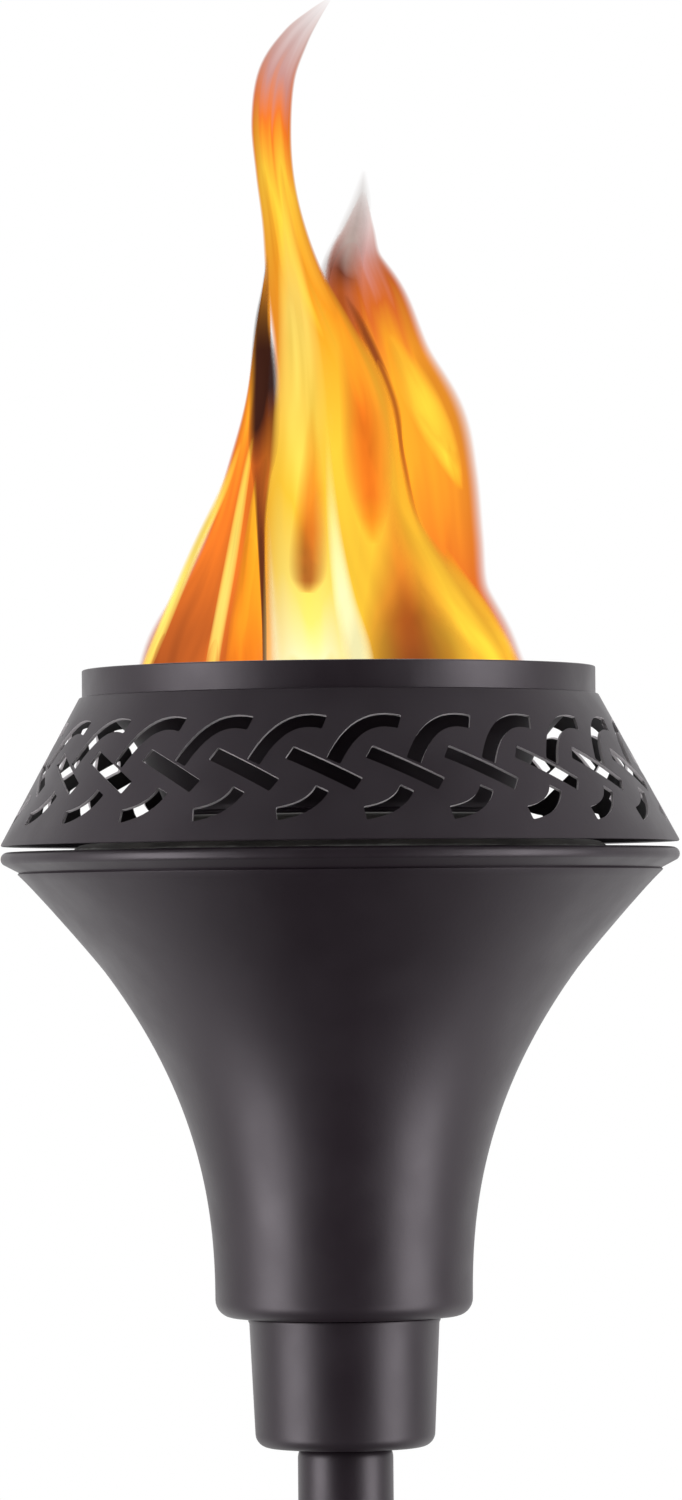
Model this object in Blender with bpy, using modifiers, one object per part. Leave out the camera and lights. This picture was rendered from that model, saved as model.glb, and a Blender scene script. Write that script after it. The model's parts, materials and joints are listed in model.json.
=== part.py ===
"""Garden torch: a flared steel bowl with a pierced crown and a wick canister, on a push-together pole
and a step-in ground stake.

Metres, +Z up. The origin is the middle of the step bar's underside, level with the ground, and the
torch's axis is Z. The front of the torch faces -Y.
"""

import math

import bmesh
import bpy
from mathutils import Matrix, Vector

MM = 0.001
GAP = 0.3 * MM  # clearance between pieces that touch on the real torch
CROWN_SIDES = 48  # facets round the crown, two for each repeat of its pattern
TURN_SIDES = 36  # facets round the other large turned pieces
TUBE_SIDES = 20  # facets round the pole, the stake and the small turned pieces

# Stake
BAR_SIZE = (110 * MM, 26 * MM, 4 * MM)
TINE_RADIUS = 4 * MM
TINE_DEPTH = 169 * MM
TINE_POINT = 20 * MM
SOCKET_HEIGHT = 90 * MM
SOCKET_WALL = 1.2 * MM
LOCK_HEIGHT = 62 * MM
SCREW_RADIUS = 2.85 * MM
SCREW_HOLE = 3.1 * MM
TIP_RADIUS = 2.5 * MM
TIP_LENGTH = 1.5 * MM
NUT_FLATS = 10 * MM
NUT_THICKNESS = 5 * MM
KNOB_RADIUS = 11 * MM
KNOB_THICKNESS = 9 * MM
KNOB_LOBES = 6
KNOB_WAVE = 1.3 * MM
KNOB_STAND_OFF = 5 * MM

# Pole
POLE_RADIUS = 12.05 * MM
POLE_WALL = 0.9 * MM
POLE_SECTIONS = 4
SECTION_LENGTH = 320 * MM
SHOULDER_DROP = 2.5 * MM
SPIGOT_LENGTH = 45 * MM
TOP_SPIGOT_LENGTH = 22 * MM

# Collar under the bowl
COLLAR_HEIGHT = 32.8 * MM
COLLAR_TOP_RADIUS = 24.0 * MM
COLLAR_FOOT_RADIUS = 22.7 * MM
COLLAR_CORNER = 3 * MM
COLLAR_WALL = 1 * MM
PLUG_THICKNESS = 8 * MM

# Bowl
BOWL_WALL = 0.8 * MM
BOWL_FOOT_RADIUS = 32.5 * MM
BOWL_CORNER = 4 * MM
FLARE_RADIUS = 79.5 * MM  # outer radius where the flare reaches FLARE_HEIGHT
FLARE_HEIGHT = 110.1 * MM
FLARE_POWER = 2.26
LIP_CENTRE = (83.7 * MM, 115.7 * MM)
LIP_HALF_WIDTH = 2.05 * MM
LIP_HALF_HEIGHT = 1.8 * MM
BOLT_RADIUS = 3.85 * MM
BOLT_HOLE = 4.3 * MM
BOLT_HEAD_FLATS = 13 * MM
BOLT_HEAD_HEIGHT = 5.3 * MM
WASHER_RADIUS = 12 * MM
WASHER_THICKNESS = 1.6 * MM

# Canister; heights from here on are above the bowl's underside
TIN_WALL = 0.6 * MM
TIN_CLEARANCE = 3.2 * MM  # measured level, from the bowl's outer surface
TIN_RADIUS = 66.6 * MM
TIN_TOP = 117.2 * MM
TIN_BEND = 99.7 * MM  # the flared side meets the upright band here
TIN_WAIST = 16 * MM
TIN_FOOT_RADIUS = 28.4 * MM
TIN_FOOT_WIDTH = 3 * MM
TIN_PANEL_HEIGHT = 11 * MM
SEAM_RADIUS = 68.2 * MM
SEAM_FOOT = 112.5 * MM
SEAM_TOP = 119.4 * MM
DOME_RIM = (64.5 * MM, 118.6 * MM)
DOME_HOLE = (19.6 * MM, 131 * MM)
DOME_POWER = 1.6
LID_WALL = 0.8 * MM
NECK_FOOT = 128.5 * MM
NECK_TOP = 142 * MM
GASKET_BORE = 14 * MM
GASKET_THICKNESS = 1.5 * MM
CAP_RADIUS = 22 * MM
CAP_WALL = 1.2 * MM
CAP_FOOT = 133 * MM
WICK_TUBE_RADIUS = 12.4 * MM
WICK_TUBE_SPAN = (100 * MM, 152 * MM)
WICK_SPAN = (28 * MM, 157 * MM)

# Crown
CROWN_WALL = 0.8 * MM
CROWN_FOOT = (85.4 * MM, 119.8 * MM)
CROWN_BEND = (66.0 * MM, 155.2 * MM)
NECK_RADIUS = 64.9 * MM
CROWN_TOP = 162.8 * MM
LINER_PATH = ((60.4 * MM, 154.8 * MM), (52.5 * MM, 146.2 * MM), (47.9 * MM, 138.1 * MM))
LINER_FOOT = (43.2 * MM, 127.1 * MM)
SLOT_REPEATS = 24
SLOT_WIDTH = 3.8 * MM
CUT_REACH = 3 * MM  # how far a slot cutter stands out of each side of the wall
CROWN_LEAN = math.atan2(CROWN_FOOT[0] - CROWN_BEND[0], CROWN_BEND[1] - CROWN_FOOT[1])

# Heights above the ground
POLE_FOOT = BAR_SIZE[2] + GAP
COLLAR_FOOT = POLE_FOOT + POLE_SECTIONS * (SECTION_LENGTH + GAP)
BOWL_FOOT = COLLAR_FOOT + COLLAR_HEIGHT
LOCK_PLACE = (0, 0, LOCK_HEIGHT)

# Finishes: colour, metallic, roughness
CHARCOAL = ((0.045, 0.040, 0.040), 0.35, 0.42)
TINPLATE = ((0.72, 0.72, 0.70), 1.0, 0.22)
ZINC = ((0.58, 0.58, 0.57), 1.0, 0.35)
FIBRE = ((0.78, 0.75, 0.66), 0.0, 0.95)
CORK = ((0.12, 0.11, 0.10), 0.0, 0.85)
NYLON = ((0.80, 0.79, 0.74), 0.0, 0.50)
PLASTIC = ((0.030, 0.030, 0.032), 0.0, 0.45)

# Slot centre lines: degrees round the crown and height above its foot. The hook and the arc are
# each a first end, the point that both ends' tangents meet at, and a second end. The bar is straight.
HOOK = ((-1.1, 18.8 * MM), (3.3, 30.6 * MM), (12.1, 27.9 * MM))
BAR = ((5.6, 20.9 * MM), (18.4, 13.0 * MM))
ARC = ((12.0, 12.3 * MM), (10.2, 7.5 * MM), (4.3, 6.3 * MM))


def clear_scene():
    for obj in list(bpy.data.objects):
        bpy.data.objects.remove(obj, do_unlink=True)


def new_collection(name):
    collection = bpy.data.collections.new(name)
    bpy.context.scene.collection.children.link(collection)
    return collection


def add_object(name, mesh, collection, place=(0, 0, 0)):
    obj = bpy.data.objects.new(name, mesh)
    obj.location = place
    collection.objects.link(obj)
    return obj


def paint(obj, finish):
    """Gives the piece its own material."""
    colour, metallic, roughness = finish
    material = bpy.data.materials.new(obj.name + "_finish")
    material.use_nodes = True
    shader = material.node_tree.nodes["Principled BSDF"]
    shader.inputs["Base Color"].default_value = (*colour, 1)
    shader.inputs["Metallic"].default_value = metallic
    shader.inputs["Roughness"].default_value = roughness
    obj.data.materials.clear()
    obj.data.materials.append(material)


def settle(obj, finish):
    """Applies the modifiers, shades round faces smooth and gives the piece its material."""
    graph = bpy.context.evaluated_depsgraph_get()
    mesh = bpy.data.meshes.new_from_object(obj.evaluated_get(graph))
    obj.modifiers.clear()
    obj.data = mesh
    mesh.shade_smooth()
    mesh.set_sharp_from_angle(angle=math.radians(30))
    paint(obj, finish)
    return obj


def turned(name, profile, finish, sides=TUBE_SIDES, wall=None, foot=0.0, closed=False, place=(0, 0)):
    """A profile of (radius, height) turned about Z. It runs down the outer side. An open profile with
    a wall is a sheet's outer surface, and the wall grows inwards."""
    mesh = bpy.data.meshes.new(name)
    points = [(radius, 0, height) for radius, height in profile]
    edges = [(i, i + 1) for i in range(len(points) - 1)]
    if closed:
        edges.append((len(points) - 1, 0))
    mesh.from_pydata(points, edges, [])
    obj = add_object(name, mesh, PARTS, (*place, foot))
    screw = obj.modifiers.new("turn", "SCREW")
    screw.axis = "Z"
    screw.angle = math.tau
    screw.steps = sides
    screw.render_steps = sides
    screw.use_merge_vertices = True
    screw.merge_threshold = 0.01 * MM
    if wall:
        solid = obj.modifiers.new("wall", "SOLIDIFY")
        solid.thickness = wall
        solid.offset = -1
        solid.use_even_offset = True
    return settle(obj, finish)


def tube(name, inner, outer, low, high, finish, sides=TUBE_SIDES):
    profile = [(outer, high), (outer, low), (inner, low), (inner, high)]
    return turned(name, profile, finish, sides, closed=True)


def prism_mesh(name, outline, low, high):
    """A flat outline of (x, y) points, counter-clockwise, raised from low to high."""
    mesh = bpy.data.meshes.new(name)
    shape = bmesh.new()
    face = shape.faces.new([shape.verts.new((x, y, low)) for x, y in outline])
    raised = bmesh.ops.extrude_face_region(shape, geom=[face])["geom"]
    tops = [v for v in raised if isinstance(v, bmesh.types.BMVert)]
    bmesh.ops.translate(shape, verts=tops, vec=(0, 0, high - low))
    bmesh.ops.recalc_face_normals(shape, faces=shape.faces)
    shape.to_mesh(mesh)
    shape.free()
    return mesh


def ring(radius, sides):
    angles = [math.tau * i / sides for i in range(sides)]
    return [(radius * math.cos(angle), radius * math.sin(angle)) for angle in angles]


def hexagon(flats):
    return ring(flats / math.sqrt(3), 6)


def helper(name, mesh, place=(0, 0, 0)):
    """An object that only cuts or joins others."""
    obj = add_object(name, mesh, CUTTERS, place)
    obj.hide_render = True
    obj.display_type = "WIRE"
    return obj


def combine(obj, other, operation):
    modifier = obj.modifiers.new(other.name, "BOOLEAN")
    modifier.operation = operation
    modifier.object = other


def front_prism(name, outline, near, far):
    """A prism along -Y, from near to far in front of its own origin."""
    mesh = prism_mesh(name, outline, near, far)
    mesh.transform(Matrix.Rotation(math.radians(90), 4, "X"))
    return mesh


def quarter(first, second, steps):
    """A quarter ellipse that leaves first upright and reaches second level."""
    points = []
    for i in range(steps + 1):
        angle = math.pi / 2 * i / steps
        points.append((second[0] + (first[0] - second[0]) * math.cos(angle),
                       first[1] + (second[1] - first[1]) * math.sin(angle)))
    return points


def bent(first, pull, second, steps):
    """A quadratic Bezier curve from first to second, whose ends' tangents meet at pull."""
    points = []
    for i in range(steps + 1):
        share = i / steps
        points.append(tuple((1 - share) ** 2 * a + 2 * share * (1 - share) * b + share**2 * c
                            for a, b, c in zip(first, pull, second)))
    return points


# Stake ---------------------------------------------------------------------------------------------


def make_stake():
    length, width, thickness = BAR_SIZE
    shape = bmesh.new()
    bmesh.ops.create_cube(shape, size=1, matrix=Matrix.Translation((0, 0, thickness / 2))
                          @ Matrix.Diagonal((length, width, thickness, 1)))
    mesh = bpy.data.meshes.new("step_bar")
    shape.to_mesh(mesh)
    shape.free()
    bar = add_object("step_bar", mesh, PARTS)
    bevel = bar.modifiers.new("round", "BEVEL")
    bevel.width = 1.2 * MM
    bevel.segments = 2
    settle(bar, CHARCOAL)

    # The tines are welded to the bar's ends, so that its underside can lie flat on the ground.
    rounding = 1 * MM
    beside = length / 2 + GAP + TINE_RADIUS
    for side, name in ((-1, "tine_left"), (1, "tine_right")):
        profile = [(0, thickness), (TINE_RADIUS - rounding, thickness), (TINE_RADIUS, thickness - rounding),
                   (TINE_RADIUS, TINE_POINT - TINE_DEPTH), (0, -TINE_DEPTH)]
        turned(name, profile, CHARCOAL, sides=12, place=(side * beside, 0))

    bore = POLE_RADIUS + GAP
    foot = thickness + GAP
    socket = tube("stake_socket", bore, bore + SOCKET_WALL, foot, foot + SOCKET_HEIGHT, CHARCOAL)
    hole = front_prism("screw_hole", ring(SCREW_HOLE, 12), 0, 2 * bore)
    combine(socket, helper("screw_hole", hole, LOCK_PLACE), "DIFFERENCE")
    settle(socket, CHARCOAL)


def make_lock():
    """The weld nut, the screw with its soft tip, and its knob, along -Y from the pole outwards."""
    nut_near = POLE_RADIUS + GAP + SOCKET_WALL + GAP
    nut_far = nut_near + NUT_THICKNESS
    blank = front_prism("weld_nut", hexagon(NUT_FLATS), nut_near, nut_far)
    nut = add_object("weld_nut", blank, PARTS, LOCK_PLACE)
    thread = front_prism("nut_thread", ring(SCREW_HOLE, 12), nut_near - MM, nut_far + MM)
    combine(nut, helper("nut_thread", thread, LOCK_PLACE), "DIFFERENCE")
    settle(nut, ZINC)

    tip_near = POLE_RADIUS + GAP
    tip_far = tip_near + TIP_LENGTH
    knob_near = nut_far + KNOB_STAND_OFF
    knob_far = knob_near + KNOB_THICKNESS
    screw_far = knob_far - 3 * MM
    tip = front_prism("lock_screw_tip", ring(TIP_RADIUS, 12), tip_near, tip_far)
    settle(add_object("lock_screw_tip", tip, PARTS, LOCK_PLACE), NYLON)
    screw = front_prism("lock_screw", ring(SCREW_RADIUS, 12), tip_far + GAP, screw_far)
    settle(add_object("lock_screw", screw, PARTS, LOCK_PLACE), ZINC)

    outline = []
    steps = KNOB_LOBES * 6
    for i in range(steps):
        angle = math.tau * i / steps
        radius = KNOB_RADIUS + KNOB_WAVE * math.cos(KNOB_LOBES * angle)
        outline.append((radius * math.cos(angle), radius * math.sin(angle)))
    blank = front_prism("lock_knob", outline, knob_near, knob_far)
    knob = add_object("lock_knob", blank, PARTS, LOCK_PLACE)
    pocket = front_prism("knob_pocket", ring(SCREW_HOLE, 12), knob_near - MM, screw_far + GAP)
    combine(knob, helper("knob_pocket", pocket, LOCK_PLACE), "DIFFERENCE")
    settle(knob, PLASTIC)


# Pole ----------------------------------------------------------------------------------------------


def make_pole():
    """Section 1 is the top one. Each one's spigot points up, into the piece above it."""
    spigot_radius = POLE_RADIUS - POLE_WALL - GAP
    shoulder = quarter((POLE_RADIUS, SECTION_LENGTH - SHOULDER_DROP), (spigot_radius, SECTION_LENGTH), 3)
    for number in range(1, POLE_SECTIONS + 1):
        spigot = TOP_SPIGOT_LENGTH if number == 1 else SPIGOT_LENGTH
        below = POLE_SECTIONS - number
        profile = [(spigot_radius, SECTION_LENGTH + spigot), *reversed(shoulder), (POLE_RADIUS, 0)]
        turned(f"pole_section_{number}", profile, CHARCOAL, wall=POLE_WALL,
               foot=POLE_FOOT + below * (SECTION_LENGTH + GAP))


# Bowl and collar -----------------------------------------------------------------------------------


def make_collar():
    bore = POLE_RADIUS - POLE_WALL
    socket_outer = bore + SOCKET_WALL
    top = COLLAR_HEIGHT - GAP
    corner_centre = COLLAR_FOOT_RADIUS - COLLAR_CORNER
    profile = [(COLLAR_TOP_RADIUS, top)]
    for i in range(4):
        angle = math.pi / 2 * i / 3
        profile.append((corner_centre + COLLAR_CORNER * math.cos(angle),
                        COLLAR_CORNER * (1 - math.sin(angle))))
    profile.append((socket_outer + GAP, 0))
    turned("collar", profile, CHARCOAL, TURN_SIDES, wall=COLLAR_WALL, foot=COLLAR_FOOT)
    tube("pole_socket", bore, socket_outer, COLLAR_FOOT, COLLAR_FOOT + top, CHARCOAL)
    tube("socket_plug", BOLT_HOLE, bore - GAP, COLLAR_FOOT + top - PLUG_THICKNESS, COLLAR_FOOT + top, ZINC)


def flare_radius(height):
    """The bowl's outer radius at a height above its underside."""
    share = max(0, (height - BOWL_CORNER) / (FLARE_HEIGHT - BOWL_CORNER))
    return BOWL_FOOT_RADIUS + (FLARE_RADIUS - BOWL_FOOT_RADIUS) * share**FLARE_POWER


def flare(top, foot, steps):
    """Points down the flare, closer together where it curves most."""
    heights = [foot + (top - foot) * (1 - i / steps) ** 0.8 for i in range(steps + 1)]
    return [(flare_radius(height), height) for height in heights]


def make_bowl():
    profile = []
    for degrees in (140, 90, 40, 0, -75):
        angle = math.radians(degrees)
        profile.append((LIP_CENTRE[0] + LIP_HALF_WIDTH * math.cos(angle),
                        LIP_CENTRE[1] + LIP_HALF_HEIGHT * math.sin(angle)))
    profile += flare(LIP_CENTRE[1] - 2.6 * MM, BOWL_CORNER, 8)
    corner_centre = BOWL_FOOT_RADIUS - BOWL_CORNER
    for i in range(1, 3):
        angle = math.pi / 2 * i / 2
        profile.append((corner_centre + BOWL_CORNER * math.cos(angle), BOWL_CORNER * (1 - math.sin(angle))))
    profile.append((BOLT_HOLE, 0))
    turned("bowl", profile, CHARCOAL, TURN_SIDES, wall=BOWL_WALL, foot=BOWL_FOOT)

    washer_foot = BOWL_FOOT + BOWL_WALL + GAP
    washer_top = washer_foot + WASHER_THICKNESS
    tube("bowl_washer", BOLT_HOLE, WASHER_RADIUS, washer_foot, washer_top, ZINC)
    head_foot = washer_top + GAP
    mesh = prism_mesh("bowl_bolt", hexagon(BOLT_HEAD_FLATS), head_foot, head_foot + BOLT_HEAD_HEIGHT)
    bolt = add_object("bowl_bolt", mesh, PARTS)
    shank = prism_mesh("bolt_shank", ring(BOLT_RADIUS, 12), BOWL_FOOT - PLUG_THICKNESS, head_foot + MM)
    combine(bolt, helper("bolt_shank", shank), "UNION")
    settle(bolt, ZINC)


# Canister ------------------------------------------------------------------------------------------


def make_canister():
    inset = [(radius - TIN_CLEARANCE, height) for radius, height in flare(TIN_BEND, TIN_WAIST, 6)]
    foot = BOWL_WALL + GAP
    foot_inner = TIN_FOOT_RADIUS - TIN_FOOT_WIDTH
    profile = [(TIN_RADIUS, TIN_TOP), *inset, (TIN_FOOT_RADIUS, foot + MM), (TIN_FOOT_RADIUS - MM, foot),
               (foot_inner, foot), (foot_inner - MM, TIN_PANEL_HEIGHT), (0, TIN_PANEL_HEIGHT)]
    turned("canister_body", profile, TINPLATE, TURN_SIDES, wall=TIN_WALL, foot=BOWL_FOOT)

    profile = []
    steps = 4
    for i in range(steps + 1):
        share = i / steps
        profile.append((DOME_HOLE[0] + (DOME_RIM[0] - DOME_HOLE[0]) * share,
                        DOME_HOLE[1] - (DOME_HOLE[1] - DOME_RIM[1]) * share**DOME_POWER))
    profile += [(SEAM_RADIUS - 1.5 * MM, SEAM_TOP), (SEAM_RADIUS, SEAM_TOP - 0.9 * MM),
                (SEAM_RADIUS, SEAM_FOOT)]
    turned("canister_shoulder", profile, TINPLATE, TURN_SIDES, wall=LID_WALL, foot=BOWL_FOOT)


def make_filler():
    neck_outer = DOME_HOLE[0] - GAP
    neck_foot, neck_top = BOWL_FOOT + NECK_FOOT, BOWL_FOOT + NECK_TOP
    tube("filler_neck", neck_outer - LID_WALL, neck_outer, neck_foot, neck_top, TINPLATE)
    gasket_foot = neck_top + GAP
    gasket_top = gasket_foot + GASKET_THICKNESS
    tube("cap_gasket", GASKET_BORE, neck_outer, gasket_foot, gasket_top, CORK)

    bore = CAP_RADIUS - CAP_WALL
    under = gasket_top + GAP
    hole = WICK_TUBE_RADIUS + GAP
    foot = BOWL_FOOT + CAP_FOOT
    bevel = 0.8 * MM
    profile = [(CAP_RADIUS - bevel, under + CAP_WALL), (CAP_RADIUS, under + CAP_WALL - bevel),
               (CAP_RADIUS, foot), (bore, foot), (bore, under), (hole, under), (hole, under + CAP_WALL)]
    turned("wick_cap", profile, TINPLATE, TUBE_SIDES * 3 // 2, closed=True)

    wick_tube_bore = WICK_TUBE_RADIUS - LID_WALL
    low, high = WICK_TUBE_SPAN
    tube("wick_tube", wick_tube_bore, WICK_TUBE_RADIUS, BOWL_FOOT + low, BOWL_FOOT + high, TINPLATE)
    low, high = WICK_SPAN
    radius = wick_tube_bore - GAP
    profile = [(0, high), (radius - MM, high), (radius, high - MM), (radius, low), (0, low)]
    turned("wick", profile, FIBRE, foot=BOWL_FOOT)


# Crown ---------------------------------------------------------------------------------------------


def crown_radius(height):
    """The crown cone's outer radius at a height above its foot."""
    return CROWN_FOOT[0] - height * math.tan(CROWN_LEAN)


def band(centre_line):
    """The outline of a slot of SLOT_WIDTH about a centre line of (degrees, height) points."""
    left, right = [], []
    last = len(centre_line) - 1
    for i, (degrees, height) in enumerate(centre_line):
        before, after = centre_line[max(i - 1, 0)], centre_line[min(i + 1, last)]
        radius = crown_radius(height)
        turned_by, raised_by = after[0] - before[0], after[1] - before[1]
        along = Vector((math.radians(turned_by) * radius, raised_by / math.cos(CROWN_LEAN)))
        across = along.orthogonal().normalized() * SLOT_WIDTH / 2
        turn = math.degrees(across.x / radius)
        rise = across.y * math.cos(CROWN_LEAN)
        left.append((degrees + turn, height + rise))
        right.append((degrees - turn, height - rise))
    return left + right[::-1]


def add_slot(shape, outline, turn):
    """Adds a closed cutter that passes through the crown's wall, square to it at its middle."""
    middle = math.radians(sum(degrees for degrees, _ in outline) / len(outline) + turn)
    level = math.cos(CROWN_LEAN)
    normal = Vector((math.sin(middle) * level, -math.cos(middle) * level, math.sin(CROWN_LEAN)))
    loops = []
    for reach in (CUT_REACH, -CUT_REACH - CROWN_WALL):
        loop = []
        for degrees, height in outline:
            angle = math.radians(degrees + turn)
            radius = crown_radius(height)
            on_wall = Vector((radius * math.sin(angle), -radius * math.cos(angle), height))
            loop.append(shape.verts.new(on_wall + normal * reach))
        loops.append(loop)
    outside, inside = loops
    shape.faces.new(outside)
    shape.faces.new(inside[::-1])
    for i in range(len(outline)):
        j = (i + 1) % len(outline)
        shape.faces.new((outside[j], outside[i], inside[i], inside[j]))


def slot_cutter():
    outlines = [band(bent(*HOOK, 4)), band(BAR), band(bent(*ARC, 3))]
    shape = bmesh.new()
    for repeat in range(SLOT_REPEATS):
        for outline in outlines:
            add_slot(shape, outline, repeat * 360 / SLOT_REPEATS)
    bmesh.ops.recalc_face_normals(shape, faces=shape.faces)
    mesh = bpy.data.meshes.new("crown_slots")
    shape.to_mesh(mesh)
    shape.free()
    cutter = helper("crown_slots", mesh)
    cutter.location.z = BOWL_FOOT + CROWN_FOOT[1]
    return cutter


def make_crown():
    edge = 0.4 * MM
    bend = CROWN_BEND[1]
    profile = [(NECK_RADIUS - edge, CROWN_TOP), (NECK_RADIUS, CROWN_TOP - edge), (NECK_RADIUS, bend + 2 * MM),
               (NECK_RADIUS + 0.3 * MM, bend + 0.8 * MM), CROWN_BEND, CROWN_FOOT]
    shell = turned("crown_shell", profile, CHARCOAL, CROWN_SIDES, wall=CROWN_WALL, foot=BOWL_FOOT)
    combine(shell, slot_cutter(), "DIFFERENCE")
    settle(shell, CHARCOAL)

    liner_top = NECK_RADIUS - CROWN_WALL - GAP
    profile = [(liner_top, CROWN_TOP), (liner_top, CROWN_TOP - 3.5 * MM), *LINER_PATH, LINER_FOOT]
    turned("crown_liner", profile, CHARCOAL, TURN_SIDES, wall=CROWN_WALL, foot=BOWL_FOOT)


clear_scene()
PARTS = new_collection("garden_torch")
CUTTERS = new_collection("cutters")
make_stake()
make_lock()
make_pole()
make_collar()
make_bowl()
make_canister()
make_filler()
make_crown()
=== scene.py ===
"""Looks of the garden torch: the turned sheet-metal pieces, the pierced crown, the canister and its wick,
the pole and the stake, a studio, and a flame that stands in the scene but isn't part of the object.

Metres, in the frame of the CAD model, except that the flame's tongues are listed in millimetres. The
outlines of the bowl, the canister, the crown and the flame are at heights above the bowl's underside.
"""

import json
import math
import random

import bmesh
import bpy
from mathutils import Matrix, Vector, noise


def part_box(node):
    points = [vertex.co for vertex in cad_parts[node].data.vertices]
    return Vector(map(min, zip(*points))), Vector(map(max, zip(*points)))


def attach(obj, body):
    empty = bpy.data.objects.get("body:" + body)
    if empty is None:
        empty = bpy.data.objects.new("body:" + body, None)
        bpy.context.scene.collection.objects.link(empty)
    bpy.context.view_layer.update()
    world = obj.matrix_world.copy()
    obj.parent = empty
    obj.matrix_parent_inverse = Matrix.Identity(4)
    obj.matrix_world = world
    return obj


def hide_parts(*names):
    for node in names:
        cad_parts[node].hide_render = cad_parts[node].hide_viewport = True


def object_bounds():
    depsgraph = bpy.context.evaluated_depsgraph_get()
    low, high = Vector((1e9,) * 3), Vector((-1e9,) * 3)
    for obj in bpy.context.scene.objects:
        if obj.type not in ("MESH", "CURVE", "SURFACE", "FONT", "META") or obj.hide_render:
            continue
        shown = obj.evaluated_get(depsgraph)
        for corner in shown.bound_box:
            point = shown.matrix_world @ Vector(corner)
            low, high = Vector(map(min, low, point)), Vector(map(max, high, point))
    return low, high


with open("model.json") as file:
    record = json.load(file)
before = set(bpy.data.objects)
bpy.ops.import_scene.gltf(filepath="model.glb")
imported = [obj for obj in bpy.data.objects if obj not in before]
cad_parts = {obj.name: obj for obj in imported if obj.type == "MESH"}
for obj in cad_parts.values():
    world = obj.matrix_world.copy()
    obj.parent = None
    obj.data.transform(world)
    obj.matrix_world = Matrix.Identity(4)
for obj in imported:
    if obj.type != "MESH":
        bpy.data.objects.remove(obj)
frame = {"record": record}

MM = 0.001
TAU = math.tau
cad_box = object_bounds()

BOWL_LOW, BOWL_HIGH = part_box("bowl")
BOWL_FOOT = BOWL_LOW.z
BOWL_TOP_RADIUS = BOWL_HIGH.x
SIDES = 256  # facets round a large turned piece
SMALL_SIDES = 96  # and round a small one
ROD_SIDES = 48

# Sheet thicknesses
SHEET = 0.8 * MM  # the bowl and the crown
COLLAR_SHEET = 1.0 * MM
TIN = 0.6 * MM  # the canister's body
LID = 0.8 * MM  # its dome, its neck and the wick's sleeve


# Materials -----------------------------------------------------------------------------------------

HIGHLIGHT_ATTRIBUTE = "cut_edge"  # the mesh attribute that is 1 on the edges of the slots, where the paint is turned light grey as a painted highlight


class Nodes:
    """A node tree, with short ways to add and join nodes."""

    def __init__(self, tree, coordinates="Object"):
        self.tree = tree
        self.where = self.add("ShaderNodeTexCoord").outputs[coordinates]

    def add(self, kind, **settings):
        node = self.tree.nodes.new(kind)
        for key, value in settings.items():
            setattr(node, key, value)
        return node

    def put(self, target, value):
        """Gives a socket a number or a colour, or links it to an output."""
        if hasattr(value, "is_linked"):
            self.tree.links.new(value, target)
        else:
            target.default_value = value

    def fill(self, node, values):
        """Puts values in a node's first sockets, in their order, or in the ones that a dict names."""
        if isinstance(values, dict):
            for name, value in values.items():
                self.put(node.inputs[name], value)
        else:
            for socket, value in zip(node.inputs, values):
                self.put(socket, value)
        return node.outputs

    def noise(self, scale, detail=4.0, roughness=0.55, where=None, distortion=0.0):
        return self.fill(self.add("ShaderNodeTexNoise"), {
            "Vector": where or self.where, "Scale": scale, "Detail": detail, "Roughness": roughness,
            "Distortion": distortion})["Fac"]

    def ramp(self, value, stops):
        """A colour ramp with (position, grey or colour) stops."""
        node = self.add("ShaderNodeValToRGB")
        elements = node.color_ramp.elements
        while len(elements) < len(stops):
            elements.new(1.0)
        for element, (position, colour) in zip(elements, stops):
            element.position = position
            element.color = (*colour, 1) if isinstance(colour, tuple) else (colour, colour, colour, 1)
        return self.fill(node, [value])["Color"]

    def tones(self, value, dark, light):
        """A colour from dark to light over 0.3 to 0.7, where most of a noise lies."""
        return self.ramp(value, [(0.3, dark), (0.7, light)])

    def math(self, operation, *values):
        return self.fill(self.add("ShaderNodeMath", operation=operation), values)["Value"]

    def times(self, first, second):
        return self.math("MULTIPLY", first, second)

    def swing(self, value, size):
        """A noise made to swing by this much about 0."""
        return self.times(self.math("SUBTRACT", value, 0.5), size)

    def range(self, value, low, high, start=0.0, end=1.0):
        """value from start..end made low..high."""
        return self.fill(self.add("ShaderNodeMapRange"), (value, start, end, low, high))["Result"]

    def levels(self, value, low, high):
        """A noise made low..high over 0.3 to 0.7, where most of it lies."""
        return self.range(value, low, high, 0.3, 0.7)

    def mix(self, share, first, second):
        node = self.add("ShaderNodeMix", data_type="RGBA")
        sockets = [s for s in node.inputs if s.name in ("Factor", "A", "B") and s.enabled]
        for socket, value in zip(sockets, (share, first, second)):
            self.put(socket, (*value, 1) if isinstance(value, tuple) else value)
        return next(s for s in node.outputs if s.enabled)

    def mix_shaders(self, share, first, second, target):
        self.put(target, self.fill(self.add("ShaderNodeMixShader"), (share, first, second))["Shader"])

    def bump(self, height, distance, strength=1.0, under=None):
        values = {"Height": height, "Distance": distance, "Strength": strength}
        if under:
            values["Normal"] = under
        return self.fill(self.add("ShaderNodeBump"), values)["Normal"]

    def axes(self):
        return self.fill(self.add("ShaderNodeSeparateXYZ"), [self.where])


class Material(Nodes):
    """A material, to be set up through its tree's nodes and its shader."""

    def __init__(self, name, coordinates="Object"):
        self.material = bpy.data.materials.new(name)
        self.material.use_nodes = True
        super().__init__(self.material.node_tree, coordinates)
        self.shader = self.tree.nodes["Principled BSDF"]

    def set(self, **values):
        """Sets the shader's own sockets, such as Roughness=0.4, with _ for a space."""
        self.fill(self.shader, {key.replace("_", " "): value for key, value in values.items()})

    def finish(self, colour, roughness, normal=None):
        self.set(Base_Color=colour, Roughness=roughness)
        if normal:
            self.set(Normal=normal)
        return self.material


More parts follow.
